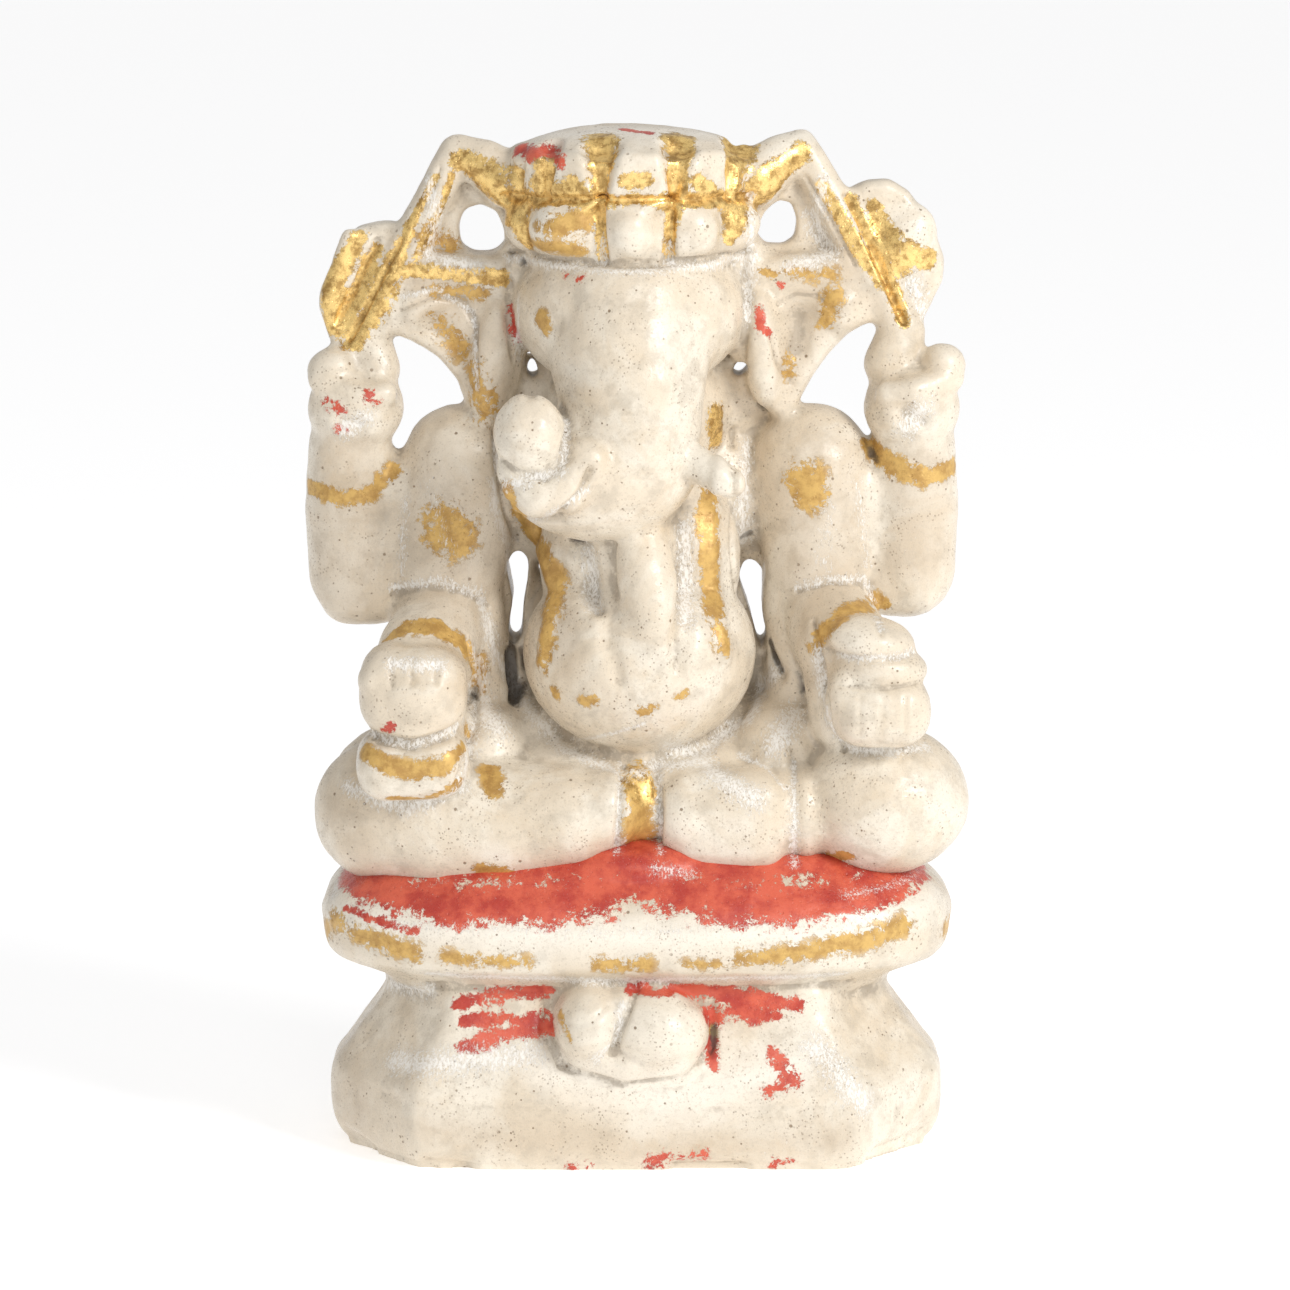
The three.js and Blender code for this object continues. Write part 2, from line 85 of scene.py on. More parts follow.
def only(obj):
    bpy.ops.object.select_all(action="DESELECT")
    obj.select_set(True)
    bpy.context.view_layer.objects.active = obj


def applyTo(piece, kind, **settings):
    only(piece)
    modifier = piece.modifiers.new(kind.lower(), kind)
    for key, value in settings.items():
        setattr(modifier, key, value)
    bpy.ops.object.modifier_apply(modifier=modifier.name)


def ball(centre, half, lean=0):
    bpy.ops.mesh.primitive_uv_sphere_add(
        **turning, radius=1, location=at(*centre),
        rotation=(0, math.radians(lean), 0), scale=[h * mm for h in half])
    return [bpy.context.object]


# A pillow-edged block, leant sideways or turned about the upright.
def block(centre, half, soft, lean=0, turn=0):
    bpy.ops.mesh.primitive_cube_add(
        size=2, location=at(*centre), rotation=(0, math.radians(lean), math.radians(turn)),
        scale=[h * mm for h in half])
    piece = bpy.context.object
    bpy.ops.object.transform_apply(location=False, rotation=False, scale=True)
    applyTo(piece, "BEVEL", width=soft * mm, segments=4)
    return [piece]


# A round limb through stops of x, y, z and radius.
def limb(stops):
    made = []
    for x, y, z, radius in stops:
        made += ball((x, y, z), (radius, radius, radius))
    for (xa, ya, za, ra), (xb, yb, zb, rb) in zip(stops, stops[1:]):
        start, end = at(xa, ya, za), at(xb, yb, zb)
        along = end - start
        bpy.ops.mesh.primitive_cone_add(
            vertices=turning["segments"], radius1=ra * mm, radius2=rb * mm, depth=along.length,
            location=(start + end) / 2, rotation=along.to_track_quat("Z", "Y").to_euler())
        made.append(bpy.context.object)
    return made


# A slab cut to an outline of x, z points, its edge rounded over.
def slab(outline, y, thick, rounded=2.0):
    bpy.ops.mesh.primitive_circle_add(vertices=len(outline), radius=1, fill_type="NGON")
    piece = bpy.context.object
    for vertex, (x, z) in zip(piece.data.vertices, outline):
        vertex.co = at(x, y - thick / 2, z)
    bpy.ops.object.mode_set(mode="EDIT")
    bpy.ops.mesh.select_all(action="SELECT")
    bpy.ops.mesh.extrude_region_move(TRANSFORM_OT_translate={"value": (0, thick * mm, 0)})
    bpy.ops.mesh.select_all(action="SELECT")
    bpy.ops.mesh.normals_make_consistent(inside=False)
    bpy.ops.object.mode_set(mode="OBJECT")
    if rounded:
        applyTo(piece, "BEVEL", width=rounded * mm, segments=3, limit_method="ANGLE",
                angle_limit=math.radians(50))
    return [piece]


# The balls, blocks, limbs and slabs of a plan; a grown plan is a cutter and leaves its slabs out.
def rough(plan, grown=0):
    made = []
    for centre, half, *lean in plan.get("balls", []):
        made += ball(centre, [h + grown for h in half], *lean)
    for centre, half, soft, *lean in plan.get("blocks", []):
        made += block(centre, [h + grown for h in half], soft, *lean)
    for stops in plan.get("limbs", []):
        made += limb([(x, y, z, radius + grown) for x, y, z, radius in stops])
    if not grown:
        for spec in plan.get("slabs", []):
            made += slab(*spec)
    return made


def gather(pieces, name):
    only(pieces[0])
    for piece in pieces:
        piece.select_set(True)
    if len(pieces) > 1:
        bpy.ops.object.join()
    joined = bpy.context.object
    bpy.ops.object.transform_apply(location=True, rotation=True, scale=True)
    joined.name = name
    joined.data.name = name
    return joined


# Makes crossing masses one skin of the given grain, then eases its edges.
def fuse(piece, grain, rounds):
    applyTo(piece, "REMESH", mode="VOXEL", voxel_size=grain * mm, adaptivity=0)
    if rounds:
        applyTo(piece, "SMOOTH", factor=0.5, iterations=rounds)


def boolean(piece, operation, cutter):
    applyTo(piece, "BOOLEAN", operation=operation, solver="MANIFOLD", object=cutter)


# Slow swells and small chisel flats that no turned form has.
def handWorked(piece, name, spread, depth):
    texture = bpy.data.textures.new(name, "CLOUDS")
    texture.noise_scale = spread * mm
    texture.noise_depth = 2
    applyTo(piece, "DISPLACE", texture=texture, texture_coords="LOCAL", strength=depth * mm, mid_level=0.5)


# The figure's masses, by carved element. The figure's right is at -x.
rightLeg = {
    "limbs": [
        [
            (-73, -14, 100, 21), (-56, -20, 98.5, 21), (-38, -24, 98.5, 18.5), (-20, -29, 101, 15),
            (-8, -31, 103.5, 11.5),
        ],
        [(-70, -4, 104, 20), (-28, 4, 112, 23)],
    ],
}
leftLeg = {
    "balls": [((71, -17, 104), (26, 25, 22))],
    "limbs": [[(69, -6, 107, 20), (28, 4, 112, 23)]],
}
leftFoot = {
    "blocks": [((27, -26, 100), (18.5, 13.5, 15.5), 11, 0, -4)],
    "balls": [((14, -28, 102), (10, 12, 13)), ((46, -19, 101), (12, 19, 16))],
}
lap = {
    "balls": [
        ((1, -6, 107), (60, 26, 18)),
        ((-44, -7, 116), (15, 20, 17)),
        ((42, -7, 117), (16, 20, 17)),
        ((0, 14, 114), (56, 28, 26)),
        ((0, -27, 105), (11, 9, 12)),
    ],
}
trunkBody = {
    "balls": [
        ((1, -14, 146.5), (34, 31, 29)),
        ((1, -9, 174), (29.5, 24, 32)),
        ((0, 9, 192), (50, 19, 26)),
        ((0, 0, 216), (27, 22, 22)),
        ((0, 6, 219), (42, 13, 19)),
        ((-39, 9, 141), (12, 14, 18)),
        ((39, 9, 141), (12, 14, 18)),
        ((-40, 10, 161), (12, 11, 24)),
        ((40, 10, 160), (12, 11, 24)),
        ((0, 10, 140), (36, 24, 40)),
    ],
    "limbs": [[(1, -29, 186, 8), (3, -34.5, 172, 9), (5, -37.5, 158, 8.5), (4, -37, 148, 7)]],
}
rightUpperArm = {
    "limbs": [
        [(-51, 1, 200, 17.5), (-55, -1, 170, 17)],
        [(-60, 4, 190, 14), (-80, 3, 172, 13)],
        [(-68, 2, 192, 12), (-70, 2, 166, 12)],
        [(-49, -2, 165, 10), (-45, -5, 128, 9)],
    ],
}
leftUpperArm = {
    "limbs": [
        [(51, 1, 200, 17.5), (54, -1, 171, 17)],
        [(60, 4, 190, 14), (78, 3, 174, 13)],
        [(66, 2, 192, 12), (68, 2, 168, 12)],
        [(47, -2, 165, 10), (46, -8, 128, 8)],
    ],
}
rightForearm = {
    "limbs": [
        [(-57, -8, 155, 13), (-61, -24, 147, 14.5), (-63, -32, 143, 13)],
        [(-62, -20, 142, 13), (-63, -24, 124, 13)],
    ],
}
leftForearm = {
    "limbs": [
        [(55, -8, 158, 13), (60, -21, 150, 14), (64, -26, 146, 12)],
        [(60, -20, 146, 12), (62, -22, 130, 12)],
    ],
}
rightPalm = {
    "blocks": [
        ((-64, -38, 140), (15.5, 12.5, 13.4), 9.5, 2), ((-64.5, -37, 118.5), (16.2, 13.5, 10.2), 9, -3),
    ],
    "balls": [
        ((-63, -44, 140), (12.5, 9, 12.5)), ((-74.5, -43, 143.5), (5.5, 7, 5.5)),
        ((-63.5, -43, 130), (10, 7, 6)),
    ],
}
leftPalm = {
    "blocks": [((70.5, -33, 133.5), (14.2, 14.5, 10.5), 9)],
    "balls": [((60, -36, 136), (6, 9, 11)), ((70, -40, 135), (11, 8, 8.5))],
}
sweet = {"balls": [((67.5, -33.5, 153.5), (13.2, 13, 7.2), 10), ((71, -34, 146.3), (13.4, 12.6, 6.2), 6)]}
rightRaisedArm = {
    "limbs": [[(-81.5, 2, 168, 14.5), (-83, 1, 186, 13.8), (-83, 0, 206, 12.2)]],
    "blocks": [((-79.5, 2, 164), (13.5, 13, 11), 9)],
}
leftRaisedArm = {
    "limbs": [[(79, 2, 169, 14.3), (80.5, 1, 188, 13.4), (80.5, 0, 206, 12.2)]],
    "blocks": [((77, 2, 166), (12.8, 13, 10.5), 8.5)],
}
rightFist = {
    "balls": [((-81.5, -3, 217), (14, 13, 13.5)), ((-88, -6, 229), (7.5, 8, 6), -12)],
    "limbs": [
        [(-76, -2, 228, 7.5), (-78, -1, 236, 7)],
        [(-91, -9, 226, 4.2), (-80, -13, 221, 4.2), (-73, -11, 222, 4)],
    ],
}
leftFist = {
    "balls": [((80, -3, 217), (14, 13, 13.5)), ((89, -5, 230), (6.5, 7, 6), 15)],
    "limbs": [
        [(74, -2, 230, 8), (77, -1, 239, 7)], [(73, -12, 222, 4), (80, -14, 223, 4.2), (91, -8, 226, 4)],
    ],
}
head = {
    "balls": [((-2, -9, 246), (33.5, 29.5, 24))],
    "limbs": [[(-2, -16, 246, 25), (-2, -22, 236, 23.5), (-1.5, -26, 226, 21.5)]],
}
trunk = {
    "balls": [((-10, -31, 202.5), (28, 19, 20.5), -6)],
    "limbs": [[(-1.5, -26, 226, 21.5), (-1, -30, 208, 19)]],
}
trunkCurl = {
    "balls": [((-30.5, -48, 215.5), (10.5, 10.5, 11.5))],
    "limbs": [[(-14, -45, 207, 8), (-21, -48, 200, 8), (-28, -48, 198.5, 7.5), (-33, -46.5, 205, 7)]],
}
tusk = {"limbs": [[(13, -35, 207, 5.6), (20, -39, 204, 5.4), (27, -42.5, 200.5, 4.6)]]}
rightEar = {
    "slabs": [
        (
            [
                (-33, 260), (-50, 260), (-66, 259), (-75, 250), (-74, 240), (-66, 237), (-58, 232.5),
                (-52, 225), (-47.5, 213), (-42.5, 208.5), (-37, 216), (-33, 228), (-31, 240),
            ],
            -1, 13, 3,
        ),
    ],
    "limbs": [[(-36, -5, 257.5, 4), (-54, -5, 258.5, 4), (-68, -4, 257, 4)]],
    "balls": [
        ((-41.5, -6, 231), (7, 8.5, 19), 7), ((-62, -4, 247), (9, 6.5, 8)), ((-34, -1, 260), (7, 8, 7)),
    ],
}
leftEar = {
    "slabs": [
        (
            [
                (30, 260), (46, 261), (60, 262), (72, 252), (68, 242), (61.5, 239), (56, 233), (50.5, 225),
                (45, 215), (41, 213), (36, 219), (31, 228), (29, 240),
            ],
            -1, 13, 3,
        ),
    ],
    "limbs": [[(32, -5, 256.5, 4), (48, -5, 258.5, 4), (63, -4, 257.5, 4)]],
    "balls": [
        ((36.5, -6, 235), (6.5, 8.5, 18), -6), ((58, -4, 246), (8, 6.5, 8)), ((32, -1, 260.5), (7, 8, 7)),
        ((31.5, -3, 234), (4.5, 6, 5)),
    ],
}
rightHeld = {
    "slabs": [
        ([(-33, 290), (-42, 291), (-50, 289), (-58, 276), (-68, 257), (-33, 256)], 3, 9, 2),
        (
            [
                (-64, 270), (-72, 271), (-80, 269.5), (-85.5, 265), (-91.8, 251), (-92.2, 246),
                (-88.5, 236), (-80, 233), (-74, 246),
            ],
            1, 11, 2.5,
        ),
    ],
    "limbs": [
        [(-36, -5, 283, 8.5), (-44, -3, 288, 7), (-51.5, -1, 291.5, 5)],
        [(-52, -2, 291, 5.2), (-66, -3, 264, 6), (-79, -2, 236, 6.5)],
        [(-83, -3, 267, 2.6), (-89, -3, 249, 3), (-87, -3, 239, 3)],
    ],
}
leftHeld = {
    "slabs": [
        ([(30, 291), (38, 293), (47, 290), (56, 276), (66, 257), (30, 256)], 3, 9, 2),
        (
            [
                (59, 279), (66, 283), (73, 283.5), (79, 280), (86, 269), (89.3, 260), (88.8, 254),
                (84, 244), (79, 238), (70, 256),
            ],
            1, 11, 2.5,
        ),
    ],
    "limbs": [
        [(34, -5, 284, 8.5), (41, -3, 289, 7), (47.5, -1, 293, 5)],
        [(48, -2, 292, 5.2), (62, -3, 268, 6), (77, -2, 240, 6.5)],
    ],
    "balls": [((78, -1, 264), (9, 7, 13), 18)],
}
crown = {
    "middle": (-1.8, -8),
    "drums": [((29.5, 25), 271.5, 11), ((33.2, 28.8), 286.5, 7.5)],
    "cap": (290, (34.2, 29.6, 9.6)),
    "around": 64,
    "boss": {
        "ring": (27, 22.5),
        "level": 271.8,
        "deep": 7,
        "high": 9,
        "soft": 6.5,
    },
    "swelling": {
        "ring": (29.5, 25),
        "level": 271.5,
        "share": 0.8,
        "high": 8,
    },
    "bosses": [
        (-43, 11.2), (0, 8.6), (38, 9.5), (80, 11), (122, 12), (164, 12), (-154, 12), (-114, 12), (-82, 9),
    ],
}


def crownMass():
    cx, cy = crown["middle"]
    boss, swelling = crown["boss"], crown["swelling"]
    made = []
    for (halfX, halfY), z, halfHeight in crown["drums"]:
        bpy.ops.mesh.primitive_cylinder_add(vertices=crown["around"], radius=1, depth=2,
                                            location=at(cx, cy, z),
                                            scale=(halfX * mm, halfY * mm, halfHeight * mm))
        made.append(bpy.context.object)

    def around(turn, plan):
        a = math.radians(turn)
        return cx + plan["ring"][0] * math.sin(a), cy - plan["ring"][1] * math.cos(a), plan["level"]

    for turn, half in crown["bosses"]:
        made += block(around(turn, boss), (half, boss["deep"], boss["high"]), boss["soft"], 0, turn)
        bulge = half * swelling["share"]
        made += ball(around(turn, swelling), (bulge, bulge, swelling["high"]))
    level, capHalf = crown["cap"]
    return made + ball((cx, cy, level), capHalf)


# The grain that masses are made one at, and the rounds of easing after.
grains = {
    "roughFigure": (1.2, 0),
    "figure": (0.85, 11),
    "lowerBlock": (1.5, 22),
    "plinth": (1.1, 8),
    "cutter": (2.0, 0),
}
drillLength = 140
plans = [
    rightLeg, leftLeg, leftFoot, lap, trunkBody, rightUpperArm, leftUpperArm, rightForearm, leftForearm,
    rightPalm, leftPalm, sweet, rightRaisedArm, leftRaisedArm, rightFist, leftFist, head, trunk, trunkCurl,
    tusk, rightEar, leftEar, rightHeld, leftHeld,
]
print("roughing out the figure")
figure = []
for plan in plans:
    figure += rough(plan)
figure = gather(figure + crownMass(), "carvedFigure")
fuse(figure, *grains["roughFigure"])

print("piercing the stone")
# See-through openings: beside the belly, above the ears, and at the cheeks.
slots = [
    [
        (-37.8, 170), (-36.4, 173.6), (-33.6, 174), (-31.6, 170.5), (-32.2, 164), (-33.2, 158),
        (-33.6, 150), (-34.8, 146.4), (-37.4, 147.6), (-37.2, 153), (-36, 160), (-36.8, 165),
    ],
    [
        (30, 166), (31.4, 170.8), (34.4, 171.6), (37, 168.6), (37, 162), (36.8, 157), (38.2, 150),
        (37.4, 144.6), (35.4, 147), (34, 153), (32, 160),
    ],
    [
        (-51.5, 270), (-49.5, 274.5), (-45, 275.8), (-41, 274), (-38.5, 269), (-38.2, 264.5), (-41.5, 262),
        (-47, 261.8), (-50.8, 264),
    ],
    [(34.5, 268), (37, 273.5), (41, 277.3), (45, 276.6), (46.6, 271), (46, 266), (42.5, 264), (37, 264.3)],
    [(-32, 226), (-31.5, 230.5), (-29.5, 230.5), (-28, 226.5), (-30, 225)],
    [(27.5, 226.5), (29, 230), (32, 231), (32.5, 228.5), (30.5, 225.8)],
]
cutters = []
for outline in slots:
    cutters += slab(outline, 0, drillLength, 0)
cutter = gather(cutters, "drills")
boolean(figure, "DIFFERENCE", cutter)
bpy.data.objects.remove(cutter)
fuse(figure, *grains["figure"])
print("figure faces", len(figure.data.polygons))


def readMesh(piece):
    count = len(piece.data.vertices)
    points = np.empty(count * 3)
    normals = np.empty(count * 3)
    piece.data.vertices.foreach_get("co", points)
    piece.data.vertex_normals.foreach_get("vector", normals)
    return points.reshape(-1, 3), normals.reshape(-1, 3)


farOff = 200
looks = {
    "front": (lambda u, z: at(u, -farOff, z), Vector((0, 1, 0))),
    "back": (lambda u, z: at(u, farOff, z), Vector((0, -1, 0))),
    "right": (lambda u, z: at(-farOff, u, z), Vector((1, 0, 0))),
    "left": (lambda u, z: at(farOff, u, z), Vector((-1, 0, 0))),
}
stroking = {"step": 0.8, "fewest": 2, "batch": 20000, "flatter": 1.5}


# A stroke's points are across, up and half width; one that gives no width keeps the last.
def widths(path):
    width = 0
    for across, up, *given in path:
        width = given[0] if given else width
        yield across, up, width


# Steps along a stroke, laid on the surface seen from one side.
def layOn(piece, path, look="front"):
    origin, ray = looks[look]
    path = list(widths(path))
    steps = []
    for (ua, za, wa), (ub, zb, wb) in zip(path, path[1:]):
        count = max(stroking["fewest"], int(math.hypot(ub - ua, zb - za) / stroking["step"]))
        for i in range(count):
            share = i / count
            steps.append((ua + (ub - ua) * share, za + (zb - za) * share, wa + (wb - wa) * share))
    steps.append(path[-1])
    laid = []
    for u, z, width in steps:
        hit, place, _, _ = piece.ray_cast(origin(u, z), ray)
        if hit:
            laid.append((*place, width * mm))
    return np.array(laid)


# How near each point is to a stroke: 1 on its middle line, 0 at its edge.
def nearness(points, laid):
    near = np.zeros(len(points))
    if not len(laid):
        return near
    low = laid[:, :3].min(0) - laid[:, 3].max()
    high = laid[:, :3].max(0) + laid[:, 3].max()
    inside = np.where(((points > low) & (points < high)).all(1))[0]
    for first in range(0, len(inside), stroking["batch"]):
        chosen = inside[first:first + stroking["batch"]]
        apart = np.linalg.norm(points[chosen, None, :] - laid[None, :, :3], axis=2) / laid[None, :, 3]
        near[chosen] = np.clip(1 - apart.min(1), 0, 1)
    return near


# Positive depths are cut in and negative ones stand proud; flat ones have a level floor.
def carve(piece, strokes):
    points, normals = readMesh(piece)
    depths = np.zeros(len(points))
    for path, depth, *more in strokes:
        look = next((m for m in more if m in looks), "front")
        near = nearness(points, layOn(piece, path, look))
        if "flat" in more:
            near = np.clip(near * stroking["flatter"], 0, 1)
        depths += near * near * (3 - 2 * near) * depth
    points -= normals * (depths * mm)[:, None]
    piece.data.vertices.foreach_set("co", points.ravel())
    piece.data.update()


cuts = [
    ([(-4, 116, 2), (-4.8, 104), (-5.4, 94)], 1.8), ([(6, 116, 2), (6.6, 104), (6.4, 94)], 1.8),
    ([(45.5, 120, 3), (45.5, 104, 5), (46, 86)], 1.6),
    ([(-34, 146, 3), (-29, 132, 4), (-17, 120), (2, 116.5), (20, 120), (31, 130), (37, 145, 3)], 1.2),
    (
        [
            (-24, 225, 1.5), (-19.5, 218, 2.6), (-20, 209, 2.8), (-26, 203.5), (-34, 205, 2.2),
            (-40, 209, 1.2),
        ],
        1.4,
    ),
    ([(-13, 206, 1.5), (-15.5, 199, 2.6), (-23, 190.5, 2.8), (-33, 190, 2.4), (-38, 195, 1.5)], 1.8),
    ([(13, 186, 4), (13.5, 170, 6), (12.5, 156), (12, 148, 4)], 1.8),
    ([(-7, 182, 3), (-7.5, 167, 5), (-8, 154), (-5, 143, 3)], 1.5),
    ([(-17, 181, 6), (-14, 172, 7), (-12, 164, 4)], 3.0),
    ([(-22, 172, 5), (-15, 168, 6), (-11, 163, 4)], 1.6),
    ([(-37, 145, 3), (-36.5, 138, 4), (-35.5, 131, 3)], 2.6), ([(39, 145, 3), (42, 140, 3.5)], 2.2),
    ([(-68, 246, 1.2), (-58, 250.5, 1.8), (-50, 249), (-46.5, 242), (-46.5, 226, 1.4)], 1.3),
    ([(-59, 243, 7), (-53, 235, 6)], 2.0), ([(41, 248, 1), (46, 250.5, 1.6), (52, 250), (57, 246)], 1.2),
    ([(38.5, 240, 1.4), (41, 231, 1.6), (45, 225, 1.4)], 1.1), ([(47, 245, 6), (47, 235, 5)], 2.2),
    ([(-36.5, 262, 2.4), (-37, 245), (-35.5, 232, 2)], 1.0),
    ([(31, 262, 2.4), (32, 245), (31, 233, 2)], 1.0),
    ([(-71, 163, 1.6), (-61, 166.5, 2), (-51, 165.5), (-43, 160, 1.6)], 0.7),
    ([(47, 165, 1.5), (56, 168, 1.8), (65, 167, 1.6), (68, 163, 2), (70, 157, 1.6)], 0.7),
    ([(-82, 130, 2), (-74, 127, 2.6), (-64, 125.5, 2.8), (-54, 128, 2.4), (-47, 135, 1.8)], 2.4),
    ([(-48.5, 153, 1.6), (-46.5, 143, 2), (-47, 127), (-52, 113, 1.6)], 1.6),
    ([(-67, 146.5, 6), (-60, 146)], 1.4), ([(-85, 214, 4), (-80, 213)], 1.6),
    ([(78, 216, 5), (83, 214, 4)], 2.0), ([(-70, 150, 1.2), (-70, 143)], 0.7),
    ([(-64, 150.5, 1.2), (-64, 144)], 0.7), ([(-57, 149, 1.2), (-57, 144)], 0.6),
    ([(54, 151, 1.5), (66, 149.6, 2), (78, 150.5, 1.8), (86, 153, 1.5)], 0.8),
    ([(58, 142, 1.4), (70, 141.4, 1.8), (84, 143, 1.4)], 0.7), ([(64, 139, 1.2), (64, 128)], 0.45),
    ([(70.5, 139.5, 1.2), (70.5, 128)], 0.45), ([(77, 139, 1.2), (77, 129)], 0.45),
    ([(51, 158, 1.6), (53.5, 145, 2), (55.5, 130), (60, 121, 1.8)], 1.6),
    ([(-38, 279.3, 2), (-22, 280.3, 2.2), (0, 280.8), (18, 280.3), (33, 279.6, 2)], 2.0),
    ([(-37, 263.5, 1.6), (-20, 262.3, 2), (0, 262.3), (18, 262.3), (33, 263.5, 1.6)], 1.8),
    ([(-10.2, 280, 2.2), (-9.4, 264, 2.6)], 2.2), ([(10.2, 280, 2.2), (9.2, 264, 2.6)], 2.2),
    ([(-10.2, 295.5, 7.2), (-10.4, 289, 5.4), (-10.2, 281, 2.4)], 3.4, "flat"),
    ([(11.8, 295.5, 7), (11.6, 289, 5.2), (11.4, 281, 2.4)], 3.4, "flat"),
    ([(29.5, 295, 7.2), (28.5, 289, 5.4), (27.5, 281, 2.8)], 3.2, "flat"),
    ([(-24.5, 295.5, 4.6), (-25.5, 289, 3.6), (-26.5, 281, 2.2)], 2.8, "flat"),
    ([(-33, 296, 4), (-33.5, 281, 3)], 1.6), ([(-22, 296, 6), (-20, 283, 3)], 2.4, "back", "flat"),
    ([(-4, 297, 6), (-3, 283, 2.4)], 2.8, "back", "flat"),
    ([(14, 297, 6), (13, 283, 2.4)], 2.8, "back", "flat"),
    ([(28, 296, 5), (27, 283, 2.4)], 2.4, "back", "flat"),
    ([(-30, 280, 2.2), (0, 280), (28, 280)], 1.8, "back"),
    ([(-33, 262.5, 2), (0, 262.5), (31, 262.5)], 1.6, "back"), ([(-75, 266, 1.6), (-86.5, 242)], 1.6),
    ([(-68.5, 266, 1.6), (-83, 238, 1.8)], 1.8),
    ([(-56.5, 287, 1.4), (-64, 268, 1.6), (-68, 259, 1.4)], 0.9),
    ([(61, 279, 2), (69, 263, 2.6), (77.5, 243, 2.2)], 2.8),
    ([(49, 284, 1.4), (57, 270, 1.6), (63, 259, 1.2)], 0.9),
    ([(-41, 211, 2), (-40, 200, 2.4), (-37.5, 186, 2), (-35, 178, 1.6)], 1.6),
    ([(28, 210, 1.6), (28, 195, 2), (27.5, 180), (28.5, 166, 1.6)], 1.5),
    (
        [
            (-37, 200, 2.6), (-33, 188, 3.4), (-27.5, 175, 4.8), (-23.5, 167, 5.6), (-25.5, 157, 5),
            (-27, 147, 3.6),
        ],
        -1.2,
    ),
    ([(23.5, 208, 3.6), (22, 190, 4.4), (22, 172), (25, 154), (26, 148, 3)], -1.0),
    ([(-30, 196, 2), (0, 199), (30, 196)], 0.8, "back"),
    ([(-5, 190, 3), (0, 150, 4), (0, 128, 3)], 1.2, "back"),
    ([(-48, 128, 3), (0, 123, 3.5), (48, 128, 3)], 1.6, "back"),
    ([(-34, 210, 2.5), (-31, 180)], 1.2, "back"), ([(34, 210, 2.5), (31, 180)], 1.2, "back"),
]
print("carving the figure's lines")
carve(figure, cuts)
applyTo(figure, "SMOOTH", factor=0.35, iterations=2)
handWorked(figure, "slowSwells", 24, 1.1)
handWorked(figure, "toolFlats", 5, 0.35)

base = {
    "chamfer": (25, 34),
    "courses": [
        (0, 82.5, 44), (2, 86, 46.6), (9, 89.6, 48), (24, 89.6, 48), (27, 87, 46.5), (45.5, 73.5, 39),
        (56, 73, 38.5),
    ],
}
seat = {
    "half": (92.5, 50),
    "power": 3.1,
    "around": 96,
    "courses": [
        (50, 0.79, 0.775), (53, 0.82, 0.8), (56.5, 0.915, 0.9), (58.5, 0.965, 0.96), (61, 0.985, 0.985),
        (70.5, 1, 1), (74.5, 0.985, 0.98), (78.5, 0.95, 0.93), (83.5, 0.88, 0.845), (89, 0.78, 0.73),
        (94, 0.55, 0.5),
    ],
}

mouse = {
    "balls": [
        ((6, -43, 41.5), (15, 13.5, 12), 10), ((-13, -42, 43), (11, 13.5, 12)),
        ((-3, -42, 50), (6, 8, 4), 20),
    ],
    "limbs": [[(-14, -44, 33, 6), (-2, -45, 31.5, 7), (12, -44, 32, 7)]],
}


def octagon(halfX, halfY):
    cutX, cutY = (c * halfX / drawing["halfWidth"] for c in base["chamfer"])
    x, y = halfX - cutX, halfY - cutY
    return [(x, -halfY), (halfX, -y), (halfX, y), (x, halfY), (-x, halfY), (-halfX, y), (-halfX, -y),
            (-x, -halfY)]


def lotusOutline(shareX, shareY):
    points = []
    halfX, halfY = seat["half"]
    power = seat["power"]
    for i in range(seat["around"]):
        a = 2 * math.pi * i / seat["around"]
        reach = (abs(math.cos(a) / halfX) ** power + abs(math.sin(a) / halfY) ** power) ** (-1 / power)
        points.append((reach * math.cos(a) * shareX, reach * math.sin(a) * shareY))
    return points


# Rings of x, y points stacked at their levels: a filled circle extruded upward once for each further course.
def stacked(rings):
    size = len(rings[0][1])
    bpy.ops.mesh.primitive_circle_add(vertices=size, radius=1, fill_type="NGON")
    piece = bpy.context.object
    bpy.ops.object.mode_set(mode="EDIT")
    for _ in rings[1:]:
        bpy.ops.mesh.extrude_region_move(TRANSFORM_OT_translate={"value": (0, 0, mm)})
    bpy.ops.object.mode_set(mode="OBJECT")
    order = sorted(piece.data.vertices, key=lambda v: round(v.co.z, 5))
    for i, (z, points) in enumerate(rings):
        row = sorted(order[i * size:(i + 1) * size], key=lambda v: math.atan2(v.co.y, v.co.x) % (2 * math.pi))
        points = sorted(points, key=lambda p: math.atan2(p[1], p[0]) % (2 * math.pi))
        for vertex, (x, y) in zip(row, points):
            vertex.co = at(x, y, z)
    only(piece)
    bpy.ops.object.mode_set(mode="EDIT")
    bpy.ops.mesh.select_all(action="SELECT")
    bpy.ops.mesh.normals_make_consistent(inside=False)
    bpy.ops.object.mode_set(mode="OBJECT")
    return piece


